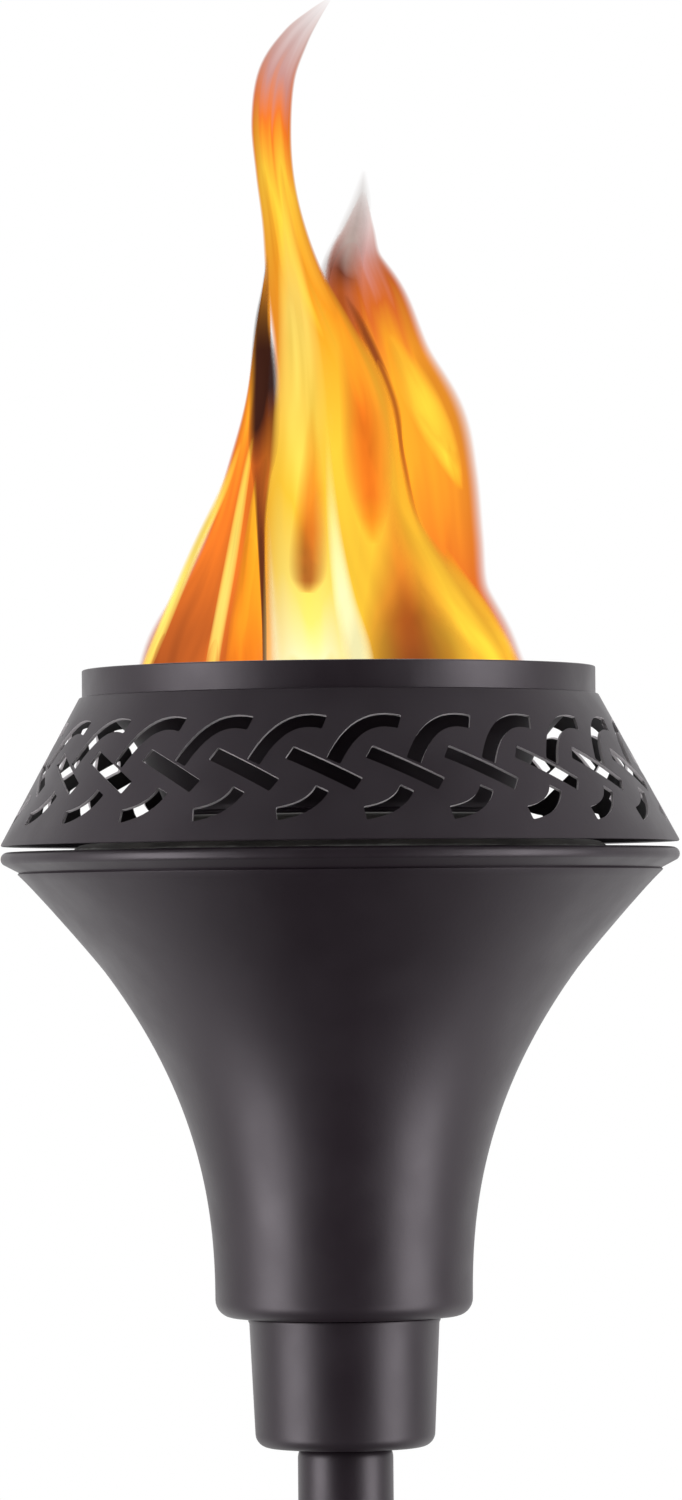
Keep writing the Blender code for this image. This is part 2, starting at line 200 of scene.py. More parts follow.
def charcoal_paint():
    """Satin powder coat, dark with a little plum in it, with a fine orange peel, and a light grey painted
    highlight on the slots' cut edges.
    """
    n = Material("charcoal_paint")
    n.set(Metallic=0.0, IOR=1.52, Specular_Tint=(1.0, 0.92, 1.0, 1.0))
    speck = n.noise(2600, 2)
    tone = n.math("ADD", n.swing(speck, 0.25), n.noise(9, 3))
    painted = n.tones(tone, (0.0110, 0.0072, 0.0102), (0.0150, 0.0100, 0.0140))
    # painted highlight: the slots' cut walls and broken edges are painted light grey, standing in for the
    # light lines they catch
    edge_highlight = n.add("ShaderNodeAttribute", attribute_name=HIGHLIGHT_ATTRIBUTE).outputs["Fac"]
    colour = n.mix(edge_highlight, painted, (0.34, 0.32, 0.33))
    peel = n.bump(n.noise(900, 3, 0.5), 0.05 * MM, 0.35)
    return n.finish(colour, n.levels(n.noise(60, 5), 0.37, 0.47), n.bump(speck, 0.02 * MM, 0.35, peel))


def tinplate():
    """Bright tinned steel with the fine rings of spinning and a few dull clouds, with painted shade on its
    dome.
    """
    n = Material("tinplate")
    x, y, z = n.axes()
    radius = n.math("SQRT", n.math("ADD", n.times(x, x), n.times(y, y)))
    clouds = n.noise(34, 5, 0.6)
    clean = n.tones(clouds, (0.44, 0.44, 0.43), (0.56, 0.56, 0.54))
    # painted shade: on the dome under the crown the tin is painted this dark tone, made rougher and not
    # metallic, standing in for the shade there
    shade_tone = n.tones(clouds, (0.040, 0.036, 0.033), (0.075, 0.068, 0.062))
    ragged = n.math("ADD", n.swing(n.noise(70, 4), 2 * MM), radius)
    inside_rim = n.range(ragged, 1.0, 0.0, 67.2 * MM, 68.3 * MM)
    outside_neck = n.range(ragged, 0.0, 1.0, 24 * MM, 36 * MM)
    above_body = n.range(z, 0.0, 1.0, BOWL_FOOT + 112 * MM, BOWL_FOOT + 116 * MM)
    # where the painted shade lies: the dome between the neck and the seam, above the body
    painted_shade = n.times(n.times(inside_rim, outside_neck), above_body)
    n.set(Metallic=n.math("SUBTRACT", 1.0, painted_shade))
    roughness = n.math("ADD", n.levels(clouds, 0.15, 0.24), n.times(painted_shade, 0.5))
    rings = n.fill(n.add("ShaderNodeTexNoise", noise_dimensions="1D"), {"W": n.times(radius, 2600.0)})["Fac"]
    lines = n.bump(rings, 0.004 * MM, 0.3)
    return n.finish(n.mix(painted_shade, clean, shade_tone), roughness, n.bump(n.noise(40, 2), 0.05 * MM, 0.15, lines))


def zinc():
    """Blue-white zinc plating, slightly mottled."""
    n = Material("zinc")
    n.set(Metallic=1.0)
    spangle = n.noise(260, 5, 0.6, distortion=0.6)
    colour = n.tones(spangle, (0.44, 0.45, 0.46), (0.62, 0.62, 0.60))
    return n.finish(colour, n.levels(n.noise(700, 4), 0.26, 0.44), n.bump(spangle, 0.03 * MM, 0.4))


def glass_fibre():
    """White braid that is charred at its top and yellower in its shades."""
    n = Material("glass_fibre")
    n.set(Specular_IOR_Level=0.3)
    _, _, z = n.axes()
    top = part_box("wick")[1].z
    burnt = n.math("ADD", n.range(z, 0.0, 1.0, top - 9 * MM, top - 2 * MM), n.swing(n.noise(420, 4), 0.9))
    fibre = n.tones(n.noise(1500, 3), (0.46, 0.43, 0.35), (0.74, 0.71, 0.62))
    colour = n.mix(n.ramp(burnt, [(0.15, 0.0), (0.85, 1.0)]), fibre, (0.012, 0.011, 0.010))
    return n.finish(colour, n.range(n.noise(300, 2), 0.85, 0.98), n.bump(n.noise(3200, 2), 0.08 * MM, 0.6))


def gasket():
    """Dark rubber with a fine grain."""
    n = Material("gasket")
    grain = n.noise(2400, 3)
    colour = n.tones(grain, (0.035, 0.033, 0.030), (0.060, 0.056, 0.050))
    return n.finish(colour, n.range(grain, 0.7, 0.9), n.bump(grain, 0.06 * MM, 0.5))


def nylon():
    """Cream nylon that lets a little light in."""
    n = Material("nylon")
    n.set(Subsurface_Weight=0.1, Subsurface_Scale=0.5 * MM)
    grain = n.noise(1800, 3)
    colour = n.tones(grain, (0.66, 0.64, 0.56), (0.76, 0.74, 0.66))
    return n.finish(colour, n.range(grain, 0.42, 0.56), n.bump(grain, 0.02 * MM, 0.4))


def black_plastic():
    """Moulded plastic with a spark-eroded grain."""
    n = Material("black_plastic")
    grain = n.noise(3000, 3, 0.6)
    colour = n.tones(n.noise(40, 3), (0.014, 0.014, 0.015), (0.022, 0.022, 0.023))
    return n.finish(colour, n.levels(grain, 0.42, 0.6), n.bump(grain, 0.05 * MM, 0.6))


FINISHES = {make.__name__: make() for make in (
    charcoal_paint, tinplate, zinc, glass_fibre, gasket, nylon, black_plastic)}
NODE_SLOTS = {entry["node"]: entry["material_slot"] for entry in frame["record"]["subparts"]}
NODE_BODIES = {node: body for body, nodes in frame["record"]["behaviour"]["bodies"].items() for node in nodes}


# Mesh helpers --------------------------------------------------------------------------------------


def new_object(name, shape):
    """An object from a bmesh, with outward normals."""
    bmesh.ops.recalc_face_normals(shape, faces=shape.faces)
    mesh = bpy.data.meshes.new(name)
    shape.to_mesh(mesh)
    shape.free()
    obj = bpy.data.objects.new(name, mesh)
    bpy.context.scene.collection.objects.link(obj)
    return obj


def apply_modifiers(obj):
    """Turns an object's mesh into what its modifiers make of it."""
    graph = bpy.context.evaluated_depsgraph_get()
    mesh = bpy.data.meshes.new_from_object(obj.evaluated_get(graph))
    obj.modifiers.clear()
    obj.data = mesh


def shade(obj, degrees=32):
    """Smooth shading, but sharp at edges that turn by more than this."""
    obj.data.shade_smooth()
    obj.data.set_sharp_from_angle(angle=math.radians(degrees))


def bevel(obj, width, segments=2, degrees=32):
    modifier = obj.modifiers.new("edge", "BEVEL")
    modifier.width = width
    modifier.segments = segments
    modifier.limit_method = "ANGLE"
    modifier.angle_limit = math.radians(degrees)
    apply_modifiers(obj)


def solidify(obj, thickness):
    modifier = obj.modifiers.new("sheet", "SOLIDIFY")
    modifier.thickness = thickness
    modifier.offset = -1
    modifier.use_even_offset = True
    apply_modifiers(obj)


def place(obj, node, degrees=32, extra=False):
    """Gives a piece a node's body and slot, and lets it stand for the node unless it is extra."""
    slot = NODE_SLOTS[node]
    shade(obj, degrees)
    obj.data.materials.clear()
    obj.data.materials.append(FINISHES[slot])
    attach(obj, NODE_BODIES[node])
    if not extra:
        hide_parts(node)
    return obj


def revolve(name, profile, sides=SIDES, closed=True, foot=0.0, radius_at=None):
    """Turns (radius, height) points round Z. A closed profile makes a solid, and an open one a surface.
    radius_at(angle, index, radius, height) changes the radius round a ring."""
    shape = bmesh.new()
    rings = []
    for index, (radius, height) in enumerate(profile):
        if radius < 0.001 * MM:
            rings.append([shape.verts.new((0, 0, foot + height))])
            continue
        ring = []
        for i in range(sides):
            angle = TAU * i / sides
            here = radius_at(angle, index, radius, height) if radius_at else radius
            ring.append(shape.verts.new((here * math.cos(angle), here * math.sin(angle), foot + height)))
        rings.append(ring)
    pairs = list(zip(rings, rings[1:]))
    if closed and len(rings[0]) > 1 and len(rings[-1]) > 1:
        pairs.append((rings[-1], rings[0]))
    for upper, lower in pairs:
        for i in range(sides):
            j = (i + 1) % sides
            corners = (upper[i % len(upper)], lower[i % len(lower)],
                       lower[j % len(lower)], upper[j % len(upper)])
            shape.faces.new(list(dict.fromkeys(corners)))
    return new_object(name, shape)


def sheet_turning(name, profile, thickness, sides=SIDES, foot=0.0, edge=0.2 * MM):
    """A turned sheet whose outer surface is the open profile, run down its outer side, with its edges
    bevelled unless edge is 0."""
    obj = revolve(name, profile, sides, closed=False, foot=foot)
    middle = obj.data.polygons[len(obj.data.polygons) // 2]
    outward = Vector((middle.center.x, middle.center.y, 0))
    if middle.normal.dot(outward) < 0:
        obj.data.flip_normals()
    solidify(obj, thickness)
    if edge:
        bevel(obj, edge, 2, 50)
    return obj


def arc(centre, radii, start, end, steps):
    """Points on an ellipse from start to end degrees."""
    points = []
    for i in range(steps + 1):
        angle = math.radians(start + (end - start) * i / steps)
        points.append((centre[0] + radii[0] * math.cos(angle), centre[1] + radii[1] * math.sin(angle)))
    return points


def smooth_path(points, steps):
    """A Catmull-Rom curve through the points, with this many steps between each two."""
    ends = [points[0], *points, points[-1]]
    made = []
    for a, b, c, d in zip(ends, ends[1:], ends[2:], ends[3:]):
        for i in range(steps):
            t = i / steps
            made.append(tuple(
                0.5 * (2 * q + (r - p) * t + (2 * p - 5 * q + 4 * r - s) * t**2
                       + (3 * q - p - 3 * r + s) * t**3)
                for p, q, r, s in zip(a, b, c, d)))
    made.append(tuple(points[-1]))
    return made


def broken_top(bore, outer, height, edge):
    """The top of a ring's profile, with both its edges broken."""
    return [(bore, height - edge), (bore + edge, height), (outer - edge, height), (outer, height - edge)]


def broken_foot(outer, bore, edge):
    return [(outer, edge), (outer - edge, 0), (bore + edge, 0), (bore, edge)]


def ring_piece(node, bore, edge=0.25 * MM, name=None):
    """A plain tube or ring with broken edges that stands for a node."""
    low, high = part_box(node)
    profile = broken_top(bore, high.x, high.z - low.z, edge) + broken_foot(high.x, bore, edge)
    place(revolve(name or node + "_turned", profile, SMALL_SIDES, foot=low.z), node, 25)


def hexagon_radius(angle, flats):
    """The radius of a hexagon with this half width across flats that has a corner at angle 0."""
    away = (angle + math.pi / 6) % (math.pi / 3) - math.pi / 6
    return flats / math.cos(math.pi / 6 - abs(away))


def threaded(radius, top, bottom, pitch):
    """Profile points down a threaded stretch, eight to each turn."""
    rows = max(2, round((top - bottom) / pitch * 8))
    return [(radius, top + (bottom - top) * i / rows) for i in range(rows + 1)]


def thread_or(other, pitch, depth, at_radius):
    """radius_at for a profile whose points at at_radius carry a thread, and whose others follow other."""

    def radius_at(angle, index, radius, height):
        if abs(radius - at_radius) > 0.001 * MM:
            return other(angle, index, radius) if other else radius
        turn = (height / pitch - angle / TAU) % 1
        return radius - depth * abs(2 * turn - 1)

    return radius_at


# Bowl and collar -----------------------------------------------------------------------------------

CORNER = 4.5 * MM  # the round under the bowl
FOOT_RADIUS = 32.5 * MM
FLARE_RADIUS = 79.5 * MM  # outer radius at FLARE_HEIGHT
FLARE_HEIGHT = 110.1 * MM
FLARE_POWER = 2.26
SWELL = 0.4 * MM  # how far the flare stands out between these two heights
SWELL_SPAN = (88 * MM, 109.5 * MM)
LIP_ROUNDING = 1.75 * MM
LIP_CENTRE = (BOWL_TOP_RADIUS - LIP_ROUNDING, 115.95 * MM)
LIP_CREASE = (81.1 * MM, 112.5 * MM)
BOLT_HOLE = 4.3 * MM
COLLAR_FOOT_RADIUS = 22.7 * MM
COLLAR_CORNER = 3.6 * MM
SOCKET_BORE = 11.15 * MM


def flare_radius(height):
    share = max(0, (height - CORNER) / (FLARE_HEIGHT - CORNER))
    swell = min(max((height - SWELL_SPAN[0]) / (SWELL_SPAN[1] - SWELL_SPAN[0]), 0), 1)
    radius = FOOT_RADIUS + (FLARE_RADIUS - FOOT_RADIUS) * share**FLARE_POWER
    return radius + SWELL * math.sin(math.pi * swell)


def flare(top, bottom, steps):
    """Points down the bowl's outer surface between two heights."""
    heights = [bottom + (top - bottom) * (1 - i / steps) for i in range(steps + 1)]
    return [(flare_radius(height), height) for height in heights]


def make_bowl():
    profile = [(LIP_CENTRE[0] - 2 * MM, LIP_CENTRE[1] + 1.2 * MM)]
    profile += arc(LIP_CENTRE, (LIP_ROUNDING, LIP_ROUNDING), 105, -52, 16)
    profile += [LIP_CREASE]
    profile += flare(LIP_CREASE[1] - 0.35 * MM, CORNER, 52)
    profile += arc((FOOT_RADIUS - CORNER, CORNER), (CORNER, CORNER), 0, -90, 8)[1:]
    profile.append((BOLT_HOLE, 0))
    place(sheet_turning("bowl_shell", profile, SHEET, foot=BOWL_FOOT), "bowl")

    ring_piece("bowl_washer", BOLT_HOLE, name="washer")
    make_bolt()


def make_bolt():
    low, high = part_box("bowl_bolt")
    flats = high.y - 0.05 * MM
    corner = flats / math.cos(math.pi / 6)
    head = 5.3 * MM
    under = high.z - low.z - head
    shank = 3.85 * MM
    pitch = 1.25 * MM
    profile = [(0, under + head), (flats * 0.95, under + head), (corner, under + head - 0.8 * MM),
               (corner, under + 0.4 * MM), (flats * 0.97, under)]
    head_points = len(profile)

    def hexagonal(angle, index, radius):
        return min(radius, hexagon_radius(angle, flats)) if index < head_points else radius

    profile += threaded(shank, under, 0.6 * MM, pitch)
    profile += [(shank - 0.8 * MM, 0), (0, 0)]
    bolt = revolve("hex_bolt", profile, SMALL_SIDES, closed=False, foot=low.z,
                   radius_at=thread_or(hexagonal, pitch, 0.55 * MM, shank))
    place(bolt, "bowl_bolt", 25)


def make_collar():
    low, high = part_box("collar")
    height = high.z - low.z
    bead = 0.3 * MM
    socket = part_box("pole_socket")[1].x
    profile = [(high.x - 0.1 * MM, height), (high.x + bead, height - 0.15 * MM),
               (high.x + bead, height - 0.7 * MM), (high.x, height - 1.3 * MM)]
    profile += arc((COLLAR_FOOT_RADIUS - COLLAR_CORNER, COLLAR_CORNER), (COLLAR_CORNER, COLLAR_CORNER),
                   0, -90, 10)
    profile.append((socket + 0.3 * MM, 0))
    place(sheet_turning("collar_cup", profile, COLLAR_SHEET, foot=low.z), "collar")
    ring_piece("pole_socket", SOCKET_BORE)
    ring_piece("socket_plug", BOLT_HOLE)


# Canister, filler and wick -------------------------------------------------------------------------

TIN_CLEARANCE = 3.2 * MM  # from the bowl's outer surface in to the tin's
TIN_TOP = 117.2 * MM
TIN_BEND = 99.7 * MM  # the height where its straight top ends
TIN_WAIST = 16 * MM  # the height where it leaves the bowl's line
TIN_FOOT = 28.4 * MM  # a radius
TIN_FLOOR = 11 * MM
SEAM_RADIUS = 68.2 * MM
SEAM_FOOT = 112.5 * MM
SEAM_TOP = 119.7 * MM
SEAM_ROUND = (5 * MM, 3.5 * MM)
DOME_RIM = (62.6 * MM, 119.0 * MM)
DOME_HOLE = (19.6 * MM, 131 * MM)
DOME_POWER = 1.6
GASKET_BORE = 14 * MM


def make_canister():
    """The tin, which follows the bowl inside it, and the dome that is seamed to its top."""
    foot = SHEET + 0.3 * MM
    tin_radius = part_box("canister_body")[1].x
    sides = [(radius - TIN_CLEARANCE, height) for radius, height in flare(TIN_BEND, TIN_WAIST, 30)]
    profile = [(tin_radius, TIN_TOP), (tin_radius, TIN_BEND + 3 * MM),
               (tin_radius - 0.1 * MM, TIN_BEND + 1.5 * MM)]
    profile += [*sides[1:], (TIN_FOOT + 0.35 * MM, foot + 5 * MM), (TIN_FOOT, foot + 1.6 * MM)]
    profile += arc((TIN_FOOT - MM, foot + MM), (MM, MM), 0, -90, 4)
    profile += arc((TIN_FOOT - 2.2 * MM, foot + MM), (MM, MM), -90, -170, 4)
    profile += [(TIN_FOOT - 4 * MM, TIN_FLOOR - 0.7 * MM), (TIN_FOOT - 5 * MM, TIN_FLOOR), (0, TIN_FLOOR)]
    place(sheet_turning("canister_tin", profile, TIN, foot=BOWL_FOOT, edge=0), "canister_body")

    steps = 24
    profile = [(DOME_HOLE[0] + (DOME_RIM[0] - DOME_HOLE[0]) * i / steps,
                DOME_HOLE[1] - (DOME_HOLE[1] - DOME_RIM[1]) * (i / steps) ** DOME_POWER)
               for i in range(steps + 1)]
    profile += arc((SEAM_RADIUS - SEAM_ROUND[0], SEAM_TOP - SEAM_ROUND[1]), SEAM_ROUND, 86, 0, 12)
    profile += [(SEAM_RADIUS, SEAM_FOOT + 0.5 * MM), (SEAM_RADIUS - 0.2 * MM, SEAM_FOOT)]
    place(sheet_turning("canister_dome", profile, LID, foot=BOWL_FOOT, edge=0), "canister_shoulder")

    make_neck()
    ring_piece("cap_gasket", GASKET_BORE, 0.4 * MM)


def make_neck():
    low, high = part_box("filler_neck")
    outer, bore, height = high.x, high.x - LID, high.z - low.z
    pitch = 3 * MM
    swell = 0.9 * MM
    crest = outer + swell
    profile = broken_top(bore, outer, height, 0.3 * MM)
    profile += threaded(crest, height - 1.5 * MM, height - 9 * MM, pitch)
    profile += [(outer, 0), (bore, 0)]
    neck = revolve("threaded_neck", profile, 128, foot=low.z, radius_at=thread_or(None, pitch, swell, crest))
    place(neck, "filler_neck", 40)


def make_cap():
    """The cap, hollow from below and knurled round its side."""
    low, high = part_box("wick_cap")
    outer, height = high.x, high.z - low.z
    bore = outer - 1.2 * MM
    under = height - 1.2 * MM
    hole = 12.7 * MM
    knurls = 66
    knurl_depth = 0.45 * MM

    def knurled(angle, index, radius, profile_height):
        if index not in range(5, 12):
            return radius
        ease = 1 if index in range(6, 11) else 0.15
        return radius - knurl_depth * ease * (0.5 - 0.5 * math.cos(knurls * angle)) ** 0.7

    profile = [(hole, under), (hole, height - 0.2 * MM), (hole + 0.2 * MM, height),
               (outer - 0.9 * MM, height), (outer - 0.3 * MM, height - 0.3 * MM),
               (outer, height - 0.9 * MM), (outer, height - 1.8 * MM)]
    profile += [(outer, height - 1.8 * MM - (height - 4.2 * MM) * i / 4) for i in range(1, 5)]
    profile += [(outer, 2.0 * MM), (outer, 0.3 * MM), (outer - 0.3 * MM, 0), (bore + 0.2 * MM, 0),
                (bore, 0.2 * MM), (bore, under)]
    place(revolve("knurled_cap", profile, knurls * 8, foot=low.z, radius_at=knurled), "wick_cap", 35)


def make_sleeve():
    """The wick's sleeve, curled at its top."""
    low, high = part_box("wick_tube")
    outer, bore, height = high.x, high.x - LID, high.z - low.z
    curl = LID / 2
    profile = arc((outer - curl, height - curl), (curl, curl), 180, 0, 8)
    profile += broken_foot(outer, bore, 0.2 * MM)
    place(revolve("wick_sleeve", profile, SMALL_SIDES, foot=low.z), "wick_tube", 35)


def make_wick():
    """Braided glass fibre: strands that cross over and under each other, burnt ragged at the top."""
    low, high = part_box("wick")
    outer = high.x - 0.05 * MM
    height = high.z - low.z
    strands = 14
    pitch = 9 * MM
    depth = 0.7 * MM
    rows = 260

    def braid(angle, index, radius, height):
        if radius < outer - 0.01 * MM:
            fray = noise.noise(Vector((math.cos(angle) * 5, math.sin(angle) * 5, radius / MM)))
            return max(0.2 * MM, radius * (1 + 0.05 * fray))
        u = strands * angle / TAU + height / pitch
        v = strands * angle / TAU - height / pitch
        over = abs(math.sin(math.pi * u)), abs(math.sin(math.pi * v))
        top = over[(math.floor(u) + math.floor(v)) % 2]
        return radius - depth * (1 - top**0.6)

    profile = [(0, height - 0.5 * MM)]
    for i in range(1, 12):
        share = i / 12
        profile.append((outer * share * 0.99, height - 0.5 * MM - 0.9 * MM * share**3))
    shoulder = height - 1.2 * MM
    profile += [(outer, shoulder - shoulder * i / rows) for i in range(rows + 1)]
    profile.append((0, 0))
    obj = revolve("braided_wick", profile, 168, closed=False, foot=low.z, radius_at=braid)
    tuft = random.Random(7)
    for vertex in obj.data.vertices:
        radius = math.hypot(vertex.co.x, vertex.co.y)
        if vertex.co.z > high.z - 1.6 * MM and radius < outer - 0.2 * MM:
            lift = noise.noise(Vector((vertex.co.x, vertex.co.y, 0)) / (0.9 * MM))
            vertex.co.z += 0.45 * MM * lift - 0.1 * MM * tuft.random()
    place(obj, "wick", 50)


# Crown ---------------------------------------------------------------------------------------------

CROWN_FOOT = (85.9 * MM, 119.2 * MM)  # radius and height
CROWN_BEND = (65.6 * MM, 156.5 * MM)
CROWN_TOP = 163.5 * MM
NECK_RADIUS = 64.9 * MM
LEAN = math.atan2(CROWN_FOOT[0] - CROWN_BEND[0], CROWN_BEND[1] - CROWN_FOOT[1])
REPEATS = 24
SLOT_WIDTH = 3.8 * MM
SLOT_CORNER = 0.45 * MM
CUT_REACH = 3 * MM  # how far the slots' cutter stands out of the sheet, on both sides

# Each slot's centre line, as degrees round the crown and height above its foot. The hook and the arc
# are each a first end, the point that both ends' tangents meet at, and a second end.
HOOK = ((-1.1, 19.2 * MM), (3.3, 31.5 * MM), (12.1, 28.8 * MM))
BAR = ((5.6, 21.5 * MM), (18.4, 13.5 * MM))
ARC = ((12.0, 12.6 * MM), (10.2, 7.7 * MM), (4.3, 6.4 * MM))


def crown_radius(height):
    return CROWN_FOOT[0] - height * math.tan(LEAN)


def bent(first, pull, second, steps):
    """A curve from first to second whose ends' tangents meet at pull."""
    return [tuple((1 - t) ** 2 * a + 2 * t * (1 - t) * b + t**2 * c for a, b, c in zip(first, pull, second))
            for t in (i / steps for i in range(steps + 1))]


def on_sheet(degrees, height):
    """A point's place on the rolled-out cone near the pattern, in metres."""
    return Vector((math.radians(degrees) * crown_radius(height), height / math.cos(LEAN)))


def off_sheet(point):
    height = point.y * math.cos(LEAN)
    return math.degrees(point.x / crown_radius(height)), height


def band(centre_line, slanted_start=False):
    """A slot's outline round its centre line, on the rolled-out sheet. A slanted start is cut along
    the bar that passes it, and the other ends are cut square."""
    line = [on_sheet(*point) for point in centre_line]
    bar_way = (on_sheet(*BAR[1]) - on_sheet(*BAR[0])).normalized()
    left, right = [], []
    for i, point in enumerate(line):
        along = (line[min(i + 1, len(line) - 1)] - line[max(i - 1, 0)]).normalized()
        across = Vector((-along.y, along.x)) * SLOT_WIDTH / 2
        if i == 0 and slanted_start:
            across = bar_way * across.dot(across) / bar_way.dot(across)
        left.append(point + across)
        right.append(point - across)
    return left + right[::-1]


def round_corners(outline, radius):
    """Replaces each sharp corner with a short curve."""
    rounded = []
    count = len(outline)
    for i, point in enumerate(outline):
        before, after = outline[i - 1] - point, outline[(i + 1) % count] - point
        if math.degrees(before.angle(after)) > 140:
            rounded.append(point)
            continue
        start, end = point + before.normalized() * radius, point + after.normalized() * radius
        for step in range(5):
            t = step / 4
            rounded.append(start * (1 - t) ** 2 + point * 2 * t * (1 - t) + end * t**2)
    return rounded


def slot_cutter():
    """Prisms that stand across the crown's wall, one for each slot of each repeat."""
    slots = [band(bent(*HOOK, 12), True), band(BAR), band(bent(*ARC, 9), True)]
    shape = bmesh.new()
    for repeat in range(REPEATS):
        turn = repeat * 360 / REPEATS
        for slot in slots:
            outline = [off_sheet(point) for point in round_corners(slot, SLOT_CORNER)]
            middle = math.radians(sum(degrees for degrees, _ in outline) / len(outline) + turn)
            level = math.cos(LEAN)
            normal = Vector((math.sin(middle) * level, -math.cos(middle) * level, math.sin(LEAN)))
            loops = []
            for reach in (CUT_REACH, -CUT_REACH - SHEET):
                loop = []
                for degrees, height in outline:
                    angle = math.radians(degrees + turn)
                    radius = crown_radius(height)
                    wall = Vector((radius * math.sin(angle), -radius * math.cos(angle), height))
                    loop.append(shape.verts.new(wall + normal * reach))
                loops.append(loop)
            outside, inside = loops
            shape.faces.new(outside)
            shape.faces.new(inside[::-1])
            for i in range(len(outline)):
                j = (i + 1) % len(outline)
                shape.faces.new((outside[j], outside[i], inside[i], inside[j]))
    cutter = new_object("slot_cutter", shape)
    cutter.location.z = BOWL_FOOT + CROWN_FOOT[1]
    return cutter


def cone_normal(spot):
    """The way straight out of the crown's cone at a place near it."""
    level = math.cos(LEAN) / math.hypot(spot.x, spot.y)
    return Vector((spot.x * level, spot.y * level, math.sin(LEAN)))


def smooth_cone(obj):
    """Gives the cone's faces the cone's own normals, so that the cuts don't disturb its shading."""
    mesh = obj.data
    normals = [Vector(corner.vector) for corner in mesh.corner_normals]
    low, high = BOWL_FOOT + CROWN_FOOT[1] + 0.4 * MM, BOWL_FOOT + CROWN_BEND[1] - 0.4 * MM
    for face in mesh.polygons:
        if not low < face.center.z < high:
            continue
        for loop in face.loop_indices:
            outward = cone_normal(mesh.vertices[mesh.loops[loop].vertex_index].co)
            facing = outward.dot(face.normal)
            if abs(facing) > 0.985:
                normals[loop] = outward * math.copysign(1, facing)
    mesh.normals_split_custom_set(normals)


def mark_highlight_faces(obj):
    """Marks the faces of the slots' walls and of their broken edges, where the paint gets a painted
    highlight.
    """
    mesh = obj.data
    mark = mesh.attributes.new(HIGHLIGHT_ATTRIBUTE, "FLOAT", "FACE")
    low, high = BOWL_FOOT + CROWN_FOOT[1] + 2 * MM, BOWL_FOOT + CROWN_BEND[1] - 2 * MM
    for face in mesh.polygons:
        if low < face.center.z < high:
            mark.data[face.index].value = float(abs(cone_normal(face.center).dot(face.normal)) < 0.9)


def make_crown():
    rim, fillet, hem = 0.4 * MM, 0.15 * MM, 0.7 * MM
    profile = arc((NECK_RADIUS - rim, CROWN_TOP - rim), (rim, rim), 90, 0, 5)
    (foot_radius, foot), (bend_radius, bend) = CROWN_FOOT, CROWN_BEND
    along = Vector((foot_radius - bend_radius, foot - bend)).normalized() * fillet
    profile += bent((NECK_RADIUS, bend + fillet), CROWN_BEND, (bend_radius + along.x, bend + along.y), 2)
    profile += [(foot_radius - hem * math.sin(LEAN), foot + hem * math.cos(LEAN)),
                (foot_radius - 0.2 * MM, foot + 0.25 * MM), (foot_radius - 0.45 * MM, foot)]
    shell = sheet_turning("crown_pierced", profile, SHEET, 288, BOWL_FOOT, edge=0)
    cutter = slot_cutter()
    cut = shell.modifiers.new("slots", "BOOLEAN")
    cut.operation = "DIFFERENCE"
    cut.object = cutter
    apply_modifiers(shell)
    bpy.data.objects.remove(cutter)
    bevel(shell, 0.2 * MM, 2, 40)
    place(shell, "crown_shell", 30)
    smooth_cone(shell)
    mark_highlight_faces(shell)

    liner_top = NECK_RADIUS - SHEET - 0.3 * MM
    path = smooth_path([(liner_top, CROWN_TOP - 3.5 * MM), (60.4 * MM, 154.8 * MM), (52.5 * MM, 146.2 * MM),
                        (47.9 * MM, 138.1 * MM), (44.5 * MM, 130.4 * MM), (43.9 * MM, 128.2 * MM),
                        (44.1 * MM, 127.6 * MM), (45.0 * MM, 127.15 * MM)], 6)
    place(sheet_turning("crown_funnel", [(liner_top, CROWN_TOP - 0.1 * MM), *path], SHEET, foot=BOWL_FOOT),
          "crown_liner")


# Pole, stake and lock ------------------------------------------------------------------------------

POLE_RADIUS = 12.05 * MM
POLE_WALL = 0.9 * MM
SPIGOT_RADIUS = POLE_RADIUS - POLE_WALL - 0.3 * MM
SHOULDER_HEIGHT = 320 * MM  # above a section's own foot
SHOULDER_DROP = 2.5 * MM  # the height over which it draws in to the spigot
LOCK_HOLE = 3.1 * MM  # the radius of the drilled hole, and of the nut's and the knob's
LOCK_Z = (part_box("lock_screw")[0].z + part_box("lock_screw")[1].z) / 2
# Turns a piece made along Z so that it runs from the pole out along -Y
ON_LOCK_AXIS = Matrix.Translation((0, 0, LOCK_Z)) @ Matrix.Rotation(math.radians(90), 4, "X")


def make_pole():
    """Each section is swaged at its top to go into the piece above it."""
    for number in range(1, 5):
        node = f"pole_section_{number}"
        low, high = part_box(node)
        total = high.z - low.z
        lead = 0.5 * MM
        profile = [(SPIGOT_RADIUS - lead, total), (SPIGOT_RADIUS - 0.1 * MM, total - lead),
                   (SPIGOT_RADIUS, total - 1.2 * MM)]
        profile += arc((SPIGOT_RADIUS, SHOULDER_HEIGHT - SHOULDER_DROP),
                       (POLE_RADIUS - SPIGOT_RADIUS, SHOULDER_DROP), 90, 0, 8)
        profile += [(POLE_RADIUS, 0.3 * MM), (POLE_RADIUS - 0.15 * MM, 0)]
        place(sheet_turning(f"pole_tube_{number}", profile, POLE_WALL, SMALL_SIDES, low.z, edge=0), node)


